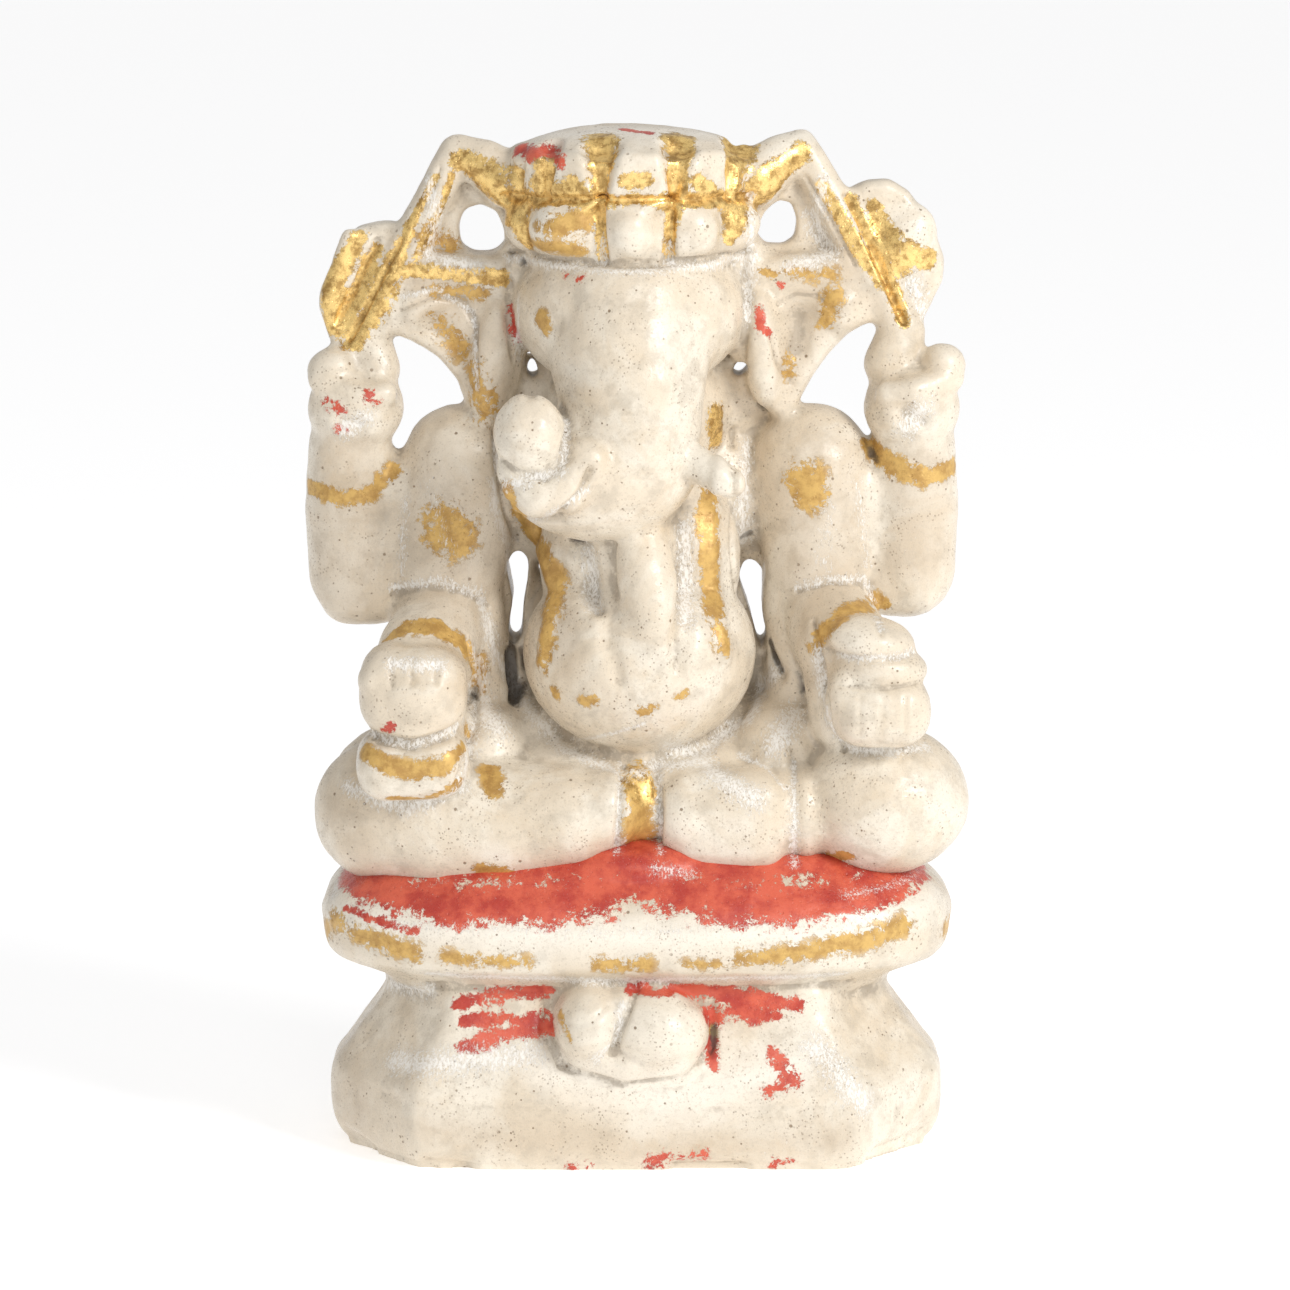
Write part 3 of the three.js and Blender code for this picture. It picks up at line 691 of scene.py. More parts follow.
print("cutting the plinth")
baseRings = [(z, octagon(halfX, halfY)) for z, halfX, halfY in base["courses"]]
seatRings = [(z, lotusOutline(shareX, shareY)) for z, shareX, shareY in seat["courses"]]
lowerBlock = gather([stacked(baseRings)], "lowerBlock")
fuse(lowerBlock, *grains["lowerBlock"])
underLap = ball((1, -22, 86), (28, 20, 10))
plinth = gather([lowerBlock, stacked(seatRings)] + underLap + rough(mouse), "plinth")
fuse(plinth, *grains["plinth"])
chips = [
    ([(-60, 2, 5), (-50, 1, 6)], 1.6), ([(12, 1, 5), (30, 1, 4)], 1.2), ([(70, 3, 5), (84, 4, 6)], 2.0),
    ([(-84, 3, 6), (-78, 2, 5)], 1.6), ([(-60, 52, 2.5), (-28, 51.5)], 0.8),
    ([(24, 51.5, 2.5), (62, 53)], 0.8), ([(0, 54, 1.5), (-4, 45, 2.6), (-7, 36, 2)], 1.5),
    ([(-21, 44, 1.2), (-13, 46, 1.4), (-8, 50, 1.2)], 0.5),
    ([(-27, 50, 2), (-27, 40, 2.4), (-22, 31), (-4, 26, 2), (14, 28), (22, 36, 2.4), (22, 48, 2)], 1.2),
    ([(-74, 20, 3), (-40, 19), (0, 18), (40, 19), (74, 20)], 0.4),
]
carve(plinth, chips)
handWorked(plinth, "plinthSwells", 22, 1.4)
handWorked(plinth, "plinthFlats", 6, 0.4)

# The foot is levelled off to a flat face.
foot = {"facingDown": -0.7, "within": 1.6}
points, normals = readMesh(plinth)
underside = (normals[:, 2] < foot["facingDown"]) & (points[:, 2] < baseLow.z + foot["within"] * mm)
points[underside, 2] = baseLow.z
points[:, 2] = np.maximum(points[:, 2], baseLow.z)
plinth.data.vertices.foreach_set("co", points.ravel())
plinth.data.update()

# Where leaf, ochre, vermilion and chalky residue still cling, and where shade is painted on (near-black in
# the recesses and along the foot of the base, brown on the sides that get less light): strokes, some with how
# hard they hold.
marks = {
    "bare": [
        [(-88, 74, 8), (-60, 71, 10), (0, 70, 11), (60, 71, 10), (88, 76, 8)],
        [(-28, 297, 9), (0, 299, 14), (26, 297, 9)], [(-24, 30, 12), (10, 22, 16), (44, 30, 10)],
    ],
    # Painted shade: broad darkening on the arms, ears, belly sides and the left of the base, the sides that
    # get less light.
    "paintedSideShade": [
        ([(-60, 204, 18), (-56, 186, 22), (-54, 168, 20), (-50, 148, 16)], 0.8),
        [(-84, 204, 14), (-86, 180, 18), (-84, 164, 16)],
        [(56, 204, 16), (56, 186, 20), (54, 168, 18), (50, 146, 14)],
        ([(84, 200, 14), (84, 178, 16)], 0.9), ([(-66, 262, 14), (-52, 246, 16), (-44, 226, 12)], 0.8),
        ([(62, 262, 14), (50, 246), (42, 228, 10)], 0.7), [(-88, 30, 16), (-84, 12)],
        ([(-80, 44, 12), (-76, 52, 10)], 0.8), ([(-86, 104, 12), (-82, 96)], 0.8),
        ([(-60, 12, 14), (0, 8, 12), (60, 10)], 0.6), ([(-24, 166, 10), (-20, 150)], 0.8),
        ([(20, 176, 8), (24, 156)], 0.7),
    ],
    "leaf": [
        [(-10.3, 297, 7), (-10, 288, 5), (-10, 280, 3.4)],
        [(11.8, 297, 6.4), (11.5, 288, 5), (11.5, 280, 3.4)], [(29, 296, 8), (28, 288, 7), (28, 279, 6)],
        [(-33, 285, 6), (-32, 278)], [(-26, 289, 5), (-25, 279)], [(-18, 284, 4), (-14, 280)],
        [(-37, 278.5, 4), (-20, 280, 3.4), (0, 281), (20, 280), (33, 279, 4)],
        [(-34, 274, 6), (-31, 268, 5.5)], ([(-28, 283, 5), (-18, 282.5, 4.5)], 0.8),
        [(-10, 280, 3), (-9.5, 265, 2.6)], [(10.5, 280, 4), (10, 266, 3.2)], [(29, 276, 6), (27, 269, 4)],
        [(-3, 286, 3.4), (2, 286)], [(17, 286, 3), (21, 283)],
        [(-51, 290, 4), (-43, 285, 7), (-36, 276, 6)], [(33, 279, 7), (41, 285, 6), (47, 291, 4.5)],
        [(-58, 284, 1.8), (-65, 271, 2.2), (-69, 262, 3.4), (-75, 249, 6.4), (-82, 237, 5)],
        [(-53, 285, 1.6), (-57, 274, 2), (-63, 262, 2.2)], [(-80, 267, 3), (-88, 254, 5), (-87, 241)],
        [(-75, 263, 3), (-84, 243, 5)], [(53, 282, 2.6), (62, 268, 3), (70, 256, 3.6), (77, 243)],
        [(61.5, 278, 2.6), (69, 263, 3), (77, 244)], [(68, 276, 2.4), (72, 267, 5.5), (76, 259, 5)],
        [(78, 263, 4), (84, 260)], [(-66, 257.5, 2.6), (-52, 256.5, 3.4), (-39, 255)],
        [(0.4, 114.5, 6.6), (0.5, 111)], [(23.4, 216, 5.4), (23.6, 208.5)],
    ],
    "ochre": [
        ([(-58, 251, 4.4), (-45, 251)], 0.7), ([(-57, 244, 6), (-50, 234)], 0.6),
        ([(-46, 229, 6), (-44, 218, 8)], 0.75), ([(57, 250, 5.5), (54, 242, 5)], 0.75),
        ([(44, 232, 4.6), (44, 228, 4)], 0.75), ([(44, 258, 4.4), (56, 256)], 0.6),
        ([(-26, 273, 6), (-18, 274, 6.4), (-13, 275, 5)], 0.8), ([(-29, 267, 5), (-16, 266.5)], 0.7),
        [(37, 257, 2.6), (40, 256, 2.4)], [(-56, 183.5, 10.5), (-53, 182)], [(49, 197, 9), (51, 194, 8.5)],
        [(-95, 194, 3.4), (-85, 191.5, 4.2), (-77, 193), (-71, 199, 4)],
        [(67, 206, 4), (74, 201, 5), (84, 197.5, 4.4), (92, 200, 3.6)],
        [
            (-72, 153.5, 3), (-66, 157.5, 4.4), (-57, 157.5, 4.8), (-50, 152), (-46.5, 144, 4.4),
            (-45.5, 135, 3.4),
        ],
        [(51, 151, 4), (55, 157, 4.8), (61, 161.5), (68, 162, 4), (72, 160, 3)],
        [(-78, 123.5, 3.4), (-70, 119.5, 4.2), (-63, 118, 4.4), (-55, 120, 4.2), (-49, 125, 3.4)],
        [(-70, 110, 2.4), (-60, 109, 3), (-51, 114)], [(0.6, 110, 7.2), (0.6, 94)],
        [(-42, 115, 5), (-41, 110, 4)], [(-44, 87, 5), (-38, 86)], [(57, 89, 5), (61, 90, 4)],
        ([(2, 134, 4), (4, 135, 3.4)], 0.75), ([(-15, 136.5, 3), (-12, 137.5)], 0.75),
        ([(-23.4, 139, 2.6), (-22.8, 137)], 0.75), ([(12.4, 138.4, 2.4), (14, 139.6)], 0.75),
        [(-27, 246, 4), (-26, 243, 3)], [(-37, 200, 4), (-33, 188, 5), (-27.5, 175, 6.4), (-24, 167, 7.2)],
        ([(-24, 167, 7.2), (-25.5, 157, 6.6), (-27, 147, 5.6)], 0.65),
        [(21, 193, 5.6), (21, 184, 5.8), (21.4, 172), (23, 162, 6)],
        ([(23, 162, 6), (25, 152, 5.6)], 0.65), ([(-22, 47, 2), (-19, 40)], 0.6),
        ([(21, 44, 2.4), (22, 38, 2)], 0.6), ([(-60, 268, 6), (-54, 264, 5)], 0.7),
        ([(-20, 285, 7), (-10, 270, 6)], "back"), ([(14, 286, 7), (22, 270, 6)], "back"),
        ([(-30, 196, 3), (0, 199, 3.4), (30, 196, 3)], "back"),
    ],
    "vermilion": [
        [(-34, 293, 4), (-26, 293, 4.6), (-22, 291, 3)], [(-4, 299.2, 1.6), (4, 298.4, 2)],
        [(20, 298.4, 1.4), (26, 298)], ([(-52, 47.5, 2.6), (-40, 50.5, 4.4), (-26, 52.5, 3.4)], 0.85),
        ([(-50, 43, 2.4), (-38, 43.5, 3.8), (-25, 42, 4.6)], 0.8),
        ([(-51, 36, 2.6), (-42, 38, 4.4), (-34, 40.5, 3.8), (-27, 40, 3)], 0.85),
        ([(-2, 53, 2.6), (14, 52.5, 4), (30, 49.5, 4.4), (46, 47.5, 3.4)], 0.9),
        ([(20, 45, 5), (32, 45, 4), (42, 44.6, 3)], 0.7), ([(21, 37, 3), (22, 31)], 0.7),
        ([(39, 34, 3), (45, 27, 4)], 0.6), ([(38, 24, 3), (42, 25)], 0.55),
        ([(4, 2.4, 4), (8, 4), (19, 5)], 0.5), ([(40, 2.4, 3), (46, 3)], 0.5),
        ([(-18, 1, 3), (-13, 1)], 0.5), ([(-89, 220, 3), (-86, 218)], 0.5),
        ([(-77, 222, 3), (-75, 220)], 0.5), ([(-86, 212, 2), (-84, 212)], 0.6),
        ([(-36, 247, 2.4), (-34.6, 240, 3), (-34, 237, 2.4)], 0.6),
        ([(35, 248, 1.8), (35.6, 242, 2.2), (38, 239, 2)], 0.55), ([(41, 253.5, 1.6), (42, 253)], 0.7),
        ([(-20, 258.5, 2), (-16, 258)], 0.6), ([(-72, 130, 2), (-70, 131)], 0.5),
        ([(6, 293, 4), (14, 292)], "back"),
    ],
    "residue": [
        [
            (-42, 148, 4), (-35, 133, 5), (-22, 120, 5.5), (-4, 114, 5), (18, 117, 5.5), (33, 128, 6),
            (41, 142, 5),
        ],
        [(-46, 133, 9), (-40, 126)], [(46, 130, 9), (40, 122)],
        [(-37, 261, 3.4), (0, 260.5), (34, 261, 4)], [(-9.5, 270, 2), (-9.5, 262, 4)],
        [(9.6, 268, 2), (9.4, 262, 4)], [(33, 280, 3), (33, 262, 5), (32, 244, 4)],
        [(-68, 250, 1.6), (-58, 252, 2), (-47, 245), (-46, 224, 2.4)],
        [(-60, 284, 4), (-57, 272, 6), (-60, 262), (-46, 259, 5)],
        [(54, 284, 4), (52, 272, 8), (56, 262, 7), (44, 259, 5)], [(80, 254, 6), (84, 244)],
        [(-20, 218, 3), (-21, 205, 4), (-38, 201)], [(-14, 200, 3), (-30, 189, 4)],
        [(-41, 208, 4), (-41, 190), (-37, 176, 6)], [(32, 206, 4), (31, 196, 5), (31, 178, 7)],
        [(-71, 165, 3), (-58, 168.5), (-46, 164, 4), (-42, 150, 7)],
        [(47, 166, 3), (56, 169), (66, 168), (70, 158)],
        [(-47, 150, 4), (-45, 134, 6), (-50, 112), (-66, 105, 5), (-84, 110)],
        [(-80, 128.5, 3), (-64, 125.5, 4), (-50, 130)], [(-70, 149, 5), (-56, 149)],
        [(52, 150, 4), (55, 130, 5), (62, 121, 4), (84, 121)], [(58, 150, 3), (82, 151)],
        [(45.5, 116, 2.4), (45.5, 88, 3.4)], [(30, 118, 2.4), (38, 115, 2), (43, 110)],
        [(-5, 116, 2.2), (-5.6, 92, 2.6)], [(7, 116, 2.2), (7, 92, 2.6)], [(-13, 178, 7), (-12, 162)],
        [(-18, 122, 2), (2, 130, 1.8)], [(14, 186, 5), (14, 160, 7)], ([(-67, 190, 4), (-68, 170)], 0.7),
        [(-4, 50, 3), (-6, 40, 3.4), (-12, 34, 4)], [(-86, 84, 6), (-88, 76)], [(84, 86, 7), (90, 78, 6)],
        ([(64, 196, 4), (67, 172)], 0.7), [(-84, 212, 7), (-78, 216, 6)], [(82, 218, 8), (78, 212, 7)],
        [(-60, 57, 4), (0, 56), (60, 57)], [(-34, 250, 3), (-34, 232, 4)], [(-70, 30, 9), (-30, 34, 8)],
        [(52, 36, 9), (66, 20)], [(10, 122, 8), (34, 108)], [(-84, 46, 6), (-60, 50)],
        ([(-60, 196, 6), (-54, 176)], 0.5), ([(56, 190, 6), (54, 172)], 0.5),
    ],
    # Painted shade: near-black in the pierced openings and recesses, under the trunk curl, and a contact
    # shadow along the foot of the base.
    "paintedRecessShade": [
        ([(-36.5, 148, 5), (-36.5, 140, 6.5), (-36, 132, 5.5)], 1.5), [(-47, 133, 3), (-44, 133)],
        ([(39, 149, 4.5), (41.5, 143, 5)], 1.4), [(46, 140, 3), (48, 136)], [(-37, 262, 2.6), (-33, 260)],
        [(33, 223, 4), (37, 217)], [(66, 206, 3), (70, 202, 2)], ([(22.5, 41, 2.6), (22.5, 34)], 0.9),
        [(-21, 48, 2.6), (-22, 38)], [(-32, 223, 2.4), (-28, 222)], [(-5, 89, 4), (3, 88)],
        ([(-63, 0.8, 2), (0, 0.8), (63, 0.8)], 1.5), [(29, 178, 2), (33, 180)],
        [(-22, 187, 4), (-17, 182)], [(22, 176, 2), (16, 190, 3)],
    ],
}


# What the lotus seat alone wears.
seatMarks = {
    "ochre": [
        ([(-88, 70, 5), (-77, 67, 5.4), (-64, 63.5, 5)], 0.7), ([(-55, 63, 4), (-32, 62)], 0.55),
        ([(-11, 61.5, 4), (3, 61.5)], 0.65), ([(14, 61.5, 3), (24, 61.5)], 0.5),
        ([(30, 63, 4.4), (51, 65, 5)], 0.6), ([(53, 66, 5), (66, 67.5, 5.4), (79, 71)], 0.7),
        ([(-60, 66, 5), (-10, 65), (30, 66), (70, 66)], "back", 0.6),
        ([(-20, 66, 5), (20, 66)], "right", 0.6), ([(-20, 66, 5), (20, 66)], "left", 0.6),
    ],
    "vermilion": [
        [
            (-85, 80.5, 5), (-76, 80.5, 7.5), (-60, 79, 9), (-45, 78, 9.5), (-22, 80, 10), (0, 83.5, 11),
            (22, 80, 10), (45, 78.5, 9.5), (60, 80, 9), (76, 83, 8), (85, 85, 5),
        ],
        [(-72, 88, 11), (-50, 89, 13), (-22, 89), (0, 92), (22, 89), (50, 89), (72, 88, 11)],
        ([(-84, 74, 1.8), (-73, 72), (-64, 70.5, 1.6)], 0.8),
        ([(-70, 86, 10), (0, 87, 11), (70, 86, 10)], "back"), ([(-30, 84, 9), (20, 84)], "right"),
        ([(-30, 84, 9), (20, 84)], "left"),
    ],
    "residue": [
        ([(6, 88, 5), (16, 86, 4)], 0.8), ([(60, 80, 4), (82, 82)], 0.7),
        ([(-70, 72, 4), (0, 71), (70, 74)], 0.5),
    ],
}


easing = {"rounds": 70, "share": 0.6, "creaseStep": 7}


# Lays the strokes on a piece, and finds its fine creases and its broad hollows by easing a copy of its skin.
def markSurface(piece, *worn):
    points, normals = readMesh(piece)
    found = {name: np.zeros(len(points)) for name in marks}
    for name, strokes in [pair for plan in worn for pair in plan.items()]:
        for stroke in strokes:
            path, *more = stroke if isinstance(stroke, tuple) else (stroke,)
            look = next((m for m in more if m in looks), "front")
            hold = next((m for m in more if m not in looks), 1)
            found[name] = np.maximum(found[name], hold * nearness(points, layOn(piece, path, look)))
    ends = np.empty(len(piece.data.edges) * 2, dtype=np.int32)
    piece.data.edges.foreach_get("vertices", ends)
    ends = ends.reshape(-1, 2)
    count = len(points)
    joins = np.bincount(ends.ravel(), minlength=count)
    eased = points.copy()
    for step in range(easing["rounds"]):
        total = np.zeros_like(eased)
        for axis in range(3):
            total[:, axis] = (np.bincount(ends[:, 0], weights=eased[ends[:, 1], axis], minlength=count)
                              + np.bincount(ends[:, 1], weights=eased[ends[:, 0], axis], minlength=count))
        eased += easing["share"] * (total / joins[:, None] - eased)
        if step == easing["creaseStep"]:
            found["crease"] = ((eased - points) * normals).sum(1) / mm
    found["hollow"] = ((eased - points) * normals).sum(1) / mm
    tree = KDTree(count)
    for i, place in enumerate(points):
        tree.insert(place, i)
    tree.balance()
    return tree, found


# Gives a parted piece the marks of the nearest spot on the stone it came from.
def putMarks(piece, tree, found):
    nearest = np.array([tree.find(v.co)[1] for v in piece.data.vertices])
    for name, value in found.items():
        layer = piece.data.attributes.new(name, "FLOAT", "POINT")
        layer.data.foreach_set("value", value[nearest].astype(np.float32))


made = []


# Cuts the stone inside the cutters away as a piece of its own.
def partOff(stone, name, cutters, fused=False):
    cutter = gather(cutters, "cutter")
    if fused:
        fuse(cutter, *grains["cutter"])
    only(stone)
    bpy.ops.object.duplicate()
    piece = bpy.context.object
    piece.name = name
    piece.data.name = name
    boolean(piece, "INTERSECT", cutter)
    boolean(stone, "DIFFERENCE", cutter)
    bpy.data.objects.remove(cutter)
    return piece


# Names a finished piece, and leaves out the loose chips that a cut strikes off.
def keep(piece, name, slotName, *nodes):
    only(piece)
    bpy.ops.mesh.separate(type="LOOSE")
    *chips, piece = sorted(bpy.context.selected_objects, key=lambda part: len(part.data.polygons))
    for chip in chips:
        bpy.data.objects.remove(chip)
    piece.name = name
    piece.data.name = name
    made.append((piece, slotName, nodes))
    print("  took out", name, len(piece.data.polygons))


def outlineBox(lowX, highX, lowZ, highZ):
    return [(lowX, lowZ), (highX, lowZ), (highX, highZ), (lowX, highZ)]


wholeDepth, plinthDepth, sashDepth = (-70, 60), (-80, 80), (-70, -31)


def fromFront(outline, depth=wholeDepth):
    near, far = depth
    return slab(outline, (near + far) / 2, far - near, 0)


# Takes elements out in turn, each by its own masses grown by a margin or by an outline seen from the front.
def takeOut(stone, elements):
    for name, cut, slotName, *nodes in elements:
        if isinstance(cut, tuple):
            plan, margin = cut
            piece = partOff(stone, name, rough(plan, margin), fused=True)
        else:
            piece = partOff(stone, name, fromFront(cut))
        keep(piece, name, slotName, *nodes)


print("marking the paint and wear")
figureMarks = markSurface(figure, marks)
plinthMarks = markSurface(plinth, marks, seatMarks)

print("parting the stone at its creases")
plain, gilded, painted = "alabaster", "gilded_alabaster", "red_painted_alabaster"
sash = partOff(figure, "waistSash", fromFront(outlineBox(-4.6, 6.2, 88, 118), sashDepth))
keep(sash, "waistSash", gilded, "waist_sash")
takeOut(figure, [
    ("modakSweet", (sweet, 1.0), plain, "modak"),
    ("leftFrontHand", (leftPalm, 1.5), plain, "left_front_hand"),
    ("rightFrontHand", (rightPalm, 1.5), plain, "right_front_hand"),
    ("trunkCurl", (trunkCurl, 1.2), plain, "trunk_curl"),
    ("leftTusk", (tusk, 1.2), plain, "left_tusk"),
    ("rightForearm", (rightForearm, 1.3), plain, "right_front_forearm", "right_bracelet"),
    ("leftForearm", (leftForearm, 1.3), plain, "left_front_forearm", "left_bracelet"),
])

# Each flank comes away whole, then parts into its arm, ear and what the raised hand holds.
rightFlank = {
    "name": "rightUpperArm",
    "node": "right_upper_arm",
    "outline": [
        (-120, 312), (-36.2, 312), (-36.2, 262), (-35.4, 224), (-39.8, 216), (-39.8, 128), (-120, 128),
    ],
    "elements": [
        (
            "axeBlade", [(-71, 275), (-64.5, 268.5), (-84.5, 235.5), (-100, 236), (-100, 280)], gilded,
            "axe_blade",
        ),
        (
            "axeHandle",
            [(-51, 300), (-45, 288), (-58, 272), (-76, 234.5), (-100, 235.5), (-100, 280), (-60, 300)],
            gilded, "axe_handle",
        ),
        ("rightRibbon", outlineBox(-100, -30, 261, 306), gilded, "right_ribbon"),
        ("rightRaisedHand", outlineBox(-110, -66.5, 203, 240), plain, "right_raised_hand"),
        (
            "rightEar",
            [
                (-110, 262), (-110, 235), (-66, 212), (-58, 217.5), (-50, 218.5), (-45, 217), (-41, 214),
                (-30, 206), (-30, 262),
            ],
            plain, "right_ear",
        ),
        ("rightRaisedForearm", outlineBox(-110, -68.2, 147, 206), plain, "right_raised_forearm"),
    ],
}
leftFlank = {
    "name": "leftUpperArm",
    "node": "left_upper_arm",
    "outline": [
        (120, 312), (32.2, 312), (32.2, 262), (31, 222), (33.5, 214), (33.5, 178), (36.6, 166),
        (36.6, 128), (120, 128),
    ],
    "elements": [
        (
            "goadBlade", [(58, 284), (64, 275.5), (80.5, 241.5), (100, 240), (100, 290), (64, 290)],
            gilded, "goad_blade",
        ),
        (
            "goadHandle", [(47, 302), (42, 290), (55, 272), (73.5, 239.5), (100, 240), (100, 300)], gilded,
            "goad_handle",
        ),
        ("leftRibbon", outlineBox(26, 100, 261, 306), gilded, "left_ribbon"),
        ("leftRaisedHand", outlineBox(64.5, 110, 203, 243), plain, "left_raised_hand"),
        (
            "leftEar",
            [
                (110, 262), (110, 235), (66, 212), (58, 217.5), (50, 218.5), (44, 217), (40, 215),
                (36, 213), (26, 206), (26, 262),
            ],
            plain, "left_ear",
        ),
        ("leftRaisedForearm", outlineBox(66.8, 110, 149, 206), plain, "left_raised_forearm"),
    ],
}
for flank in (rightFlank, leftFlank):
    side = partOff(figure, flank["name"], fromFront(flank["outline"]))
    takeOut(side, flank["elements"])
    keep(side, flank["name"], plain, flank["node"])

takeOut(figure, [
    ("crownPetals", outlineBox(-60, 60, 280.2, 306), gilded, "crown_petals", "crown_cap"),
    ("crownBand", outlineBox(-60, 60, 262.4, 282), gilded, "crown_band"),
    ("head", outlineBox(-60, 60, 221, 266), plain, "head"),
    ("trunk", (trunk, 1.5), plain, "trunk"),
    ("leftFoot", (leftFoot, 1.2), plain, "left_foot"),
    ("rightLeg", (rightLeg, 1.2), plain, "right_leg"),
    ("leftLeg", (leftLeg, 1.2), plain, "left_leg"),
])
keep(figure, "torso", plain, "torso", "hips", "belly", "sacred_thread", "right_shawl_band", "left_shawl_band")
takeOut(plinth, [("mouseRelief", (mouse, 1.6), plain, "mouse_body", "mouse_head")])
lowerPart = partOff(plinth, "baseBlock", fromFront(outlineBox(-110, 110, -10, 48), plinthDepth))
keep(lowerPart, "baseBlock", plain, "base_block")
keep(plinth, "lotusSeat", painted, "lotus_seat")


# Shorthand for building one material's nodes; coordinates are the object's own.
class Nodes:
    def __init__(self, material):
        material.use_nodes = True
        self.tree = material.node_tree
        self.shader = self.tree.nodes["Principled BSDF"]
        self.coords = self.tree.nodes.new("ShaderNodeTexCoord").outputs["Object"]

    def put(self, socket, value):
        if isinstance(value, bpy.types.NodeSocket):
            self.tree.links.new(value, socket)
        else:
            socket.default_value = value

    def stretched(self, scale):
        node = self.tree.nodes.new("ShaderNodeMapping")
        self.put(node.inputs["Vector"], self.coords)
        node.inputs["Scale"].default_value = scale
        return node.outputs["Vector"]

    def noise(self, scale, detail, rough, warp=0, vector=None):
        node = self.tree.nodes.new("ShaderNodeTexNoise")
        self.put(node.inputs["Vector"], vector or self.coords)
        for name, value in (("Scale", scale), ("Detail", detail), ("Roughness", rough), ("Distortion", warp)):
            node.inputs[name].default_value = value
        return node.outputs["Fac"]

    def cells(self, scale):
        node = self.tree.nodes.new("ShaderNodeTexVoronoi")
        self.put(node.inputs["Vector"], self.coords)
        node.inputs["Scale"].default_value = scale
        return node.outputs["Distance"]

    def attribute(self, name):
        node = self.tree.nodes.new("ShaderNodeAttribute")
        node.attribute_name = name
        return node.outputs["Fac"]

    def math(self, operation, *values):
        node = self.tree.nodes.new("ShaderNodeMath")
        node.operation = operation
        for socket, value in zip(node.inputs, values):
            self.put(socket, value)
        return node.outputs[0]

    def times(self, a, b):
        return self.math("MULTIPLY", a, b)

    def most(self, a, b):
        return self.math("MAXIMUM", a, b)

    # A value times a share, laid over a ground.
    def over(self, ground, value, share):
        return self.math("MULTIPLY_ADD", value, share, ground)

    def ramp(self, value, low, high, start=0.0, end=1.0):
        node = self.tree.nodes.new("ShaderNodeMapRange")
        node.interpolation_type = "SMOOTHSTEP"
        for name, number in zip(("Value", "From Min", "From Max", "To Min", "To Max"),
                                (value, low, high, start, end)):
            self.put(node.inputs[name], number)
        return node.outputs["Result"]

    def blend(self, share, a, b):
        node = self.tree.nodes.new("ShaderNodeMix")
        node.data_type = "RGBA"
        self.put(node.inputs["Factor"], share)
        self.put(node.inputs[6], a)
        self.put(node.inputs[7], b)
        return node.outputs[2]


alabaster = {
    "cream": (0.70, 0.60, 0.465, 1),
    "pale": (0.79, 0.72, 0.605, 1),
    "grey": (0.46, 0.395, 0.305, 1),
    "honey": (0.62, 0.47, 0.29, 1),
    "bare": (0.86, 0.80, 0.70, 1),
    # The brown of painted shade on the sides that get less light.
    "paintedSideShade": (0.47, 0.355, 0.235, 1),
    "pore": (0.19, 0.12, 0.06, 1),
    # The near-black of painted shade in recesses and under the base.
    "paintedRecessShade": (0.045, 0.034, 0.026, 1),
    # Brown grime in creases and hollows, partly painted shade there.
    "creaseGrimeAndShade": (0.24, 0.19, 0.135, 1),
    "chalk": (0.90, 0.875, 0.83, 1),
    "leafBright": (0.90, 0.63, 0.24, 1),
    "leafDark": (0.40, 0.235, 0.07, 1),
    "ochreLight": (0.66, 0.42, 0.13, 1),
    "ochreDark": (0.44, 0.25, 0.07, 1),
    "redLight": (0.66, 0.12, 0.065, 1),
    "redDark": (0.44, 0.045, 0.03, 1),
    # Scale, detail, roughness and warp of each noise.
    "noises": {
        "clouds": (34, 5, 0.62, 0.6), "patches": (110, 7, 0.68), "grain": (1000, 4, 0.75),
        "flecks": (230, 6, 0.72),
        "veins": (52, 6, 0.7), "broadEdge": (95, 3, 0.6, 0.5), "edge": (380, 7, 0.85, 0.4),
        "fineEdge": (820, 4, 0.8),
        "scored": (1, 5, 0.8, 0.5), "leafTone": (330, 5, 0.7), "lumps": (150, 6, 0.7),
    },
    "scoring": (1500, 1500, 620),
    # For each size of pore: cell scale and edges, gathering noise and its edges, and darkness.
    "pores": [
        (900, (0.30, 0.14), (90, 5, 0.7), (0.45, 0.62), 0.6),
        (420, (0.17, 0.09), (130, 4, 0.7), (0.47, 0.60), 1),
        (190, (0.115, 0.06), (60, 3, 0.6), (0.48, 0.58), 1),
    ],
    # How near its stroke's middle each paint must be to hold, and how ragged its edge is.
    "clinging": {"ochre": (0.30, 1.9), "leaf": (0.22, 1.7), "vermilion": (0.27, 2.0)},
    "edgeSoftness": 0.06,
    "raggedness": 2.5,
    "gilding": {"leaf": 0.88, "ochre": 0.25},
    "relief": {"grain": 0.16, "pores": -0.9, "paint": 0.30, "residue": 0.28, "lumps": 0.8},
    "bump": {"Strength": 0.55, "Distance": 0.0005},
}


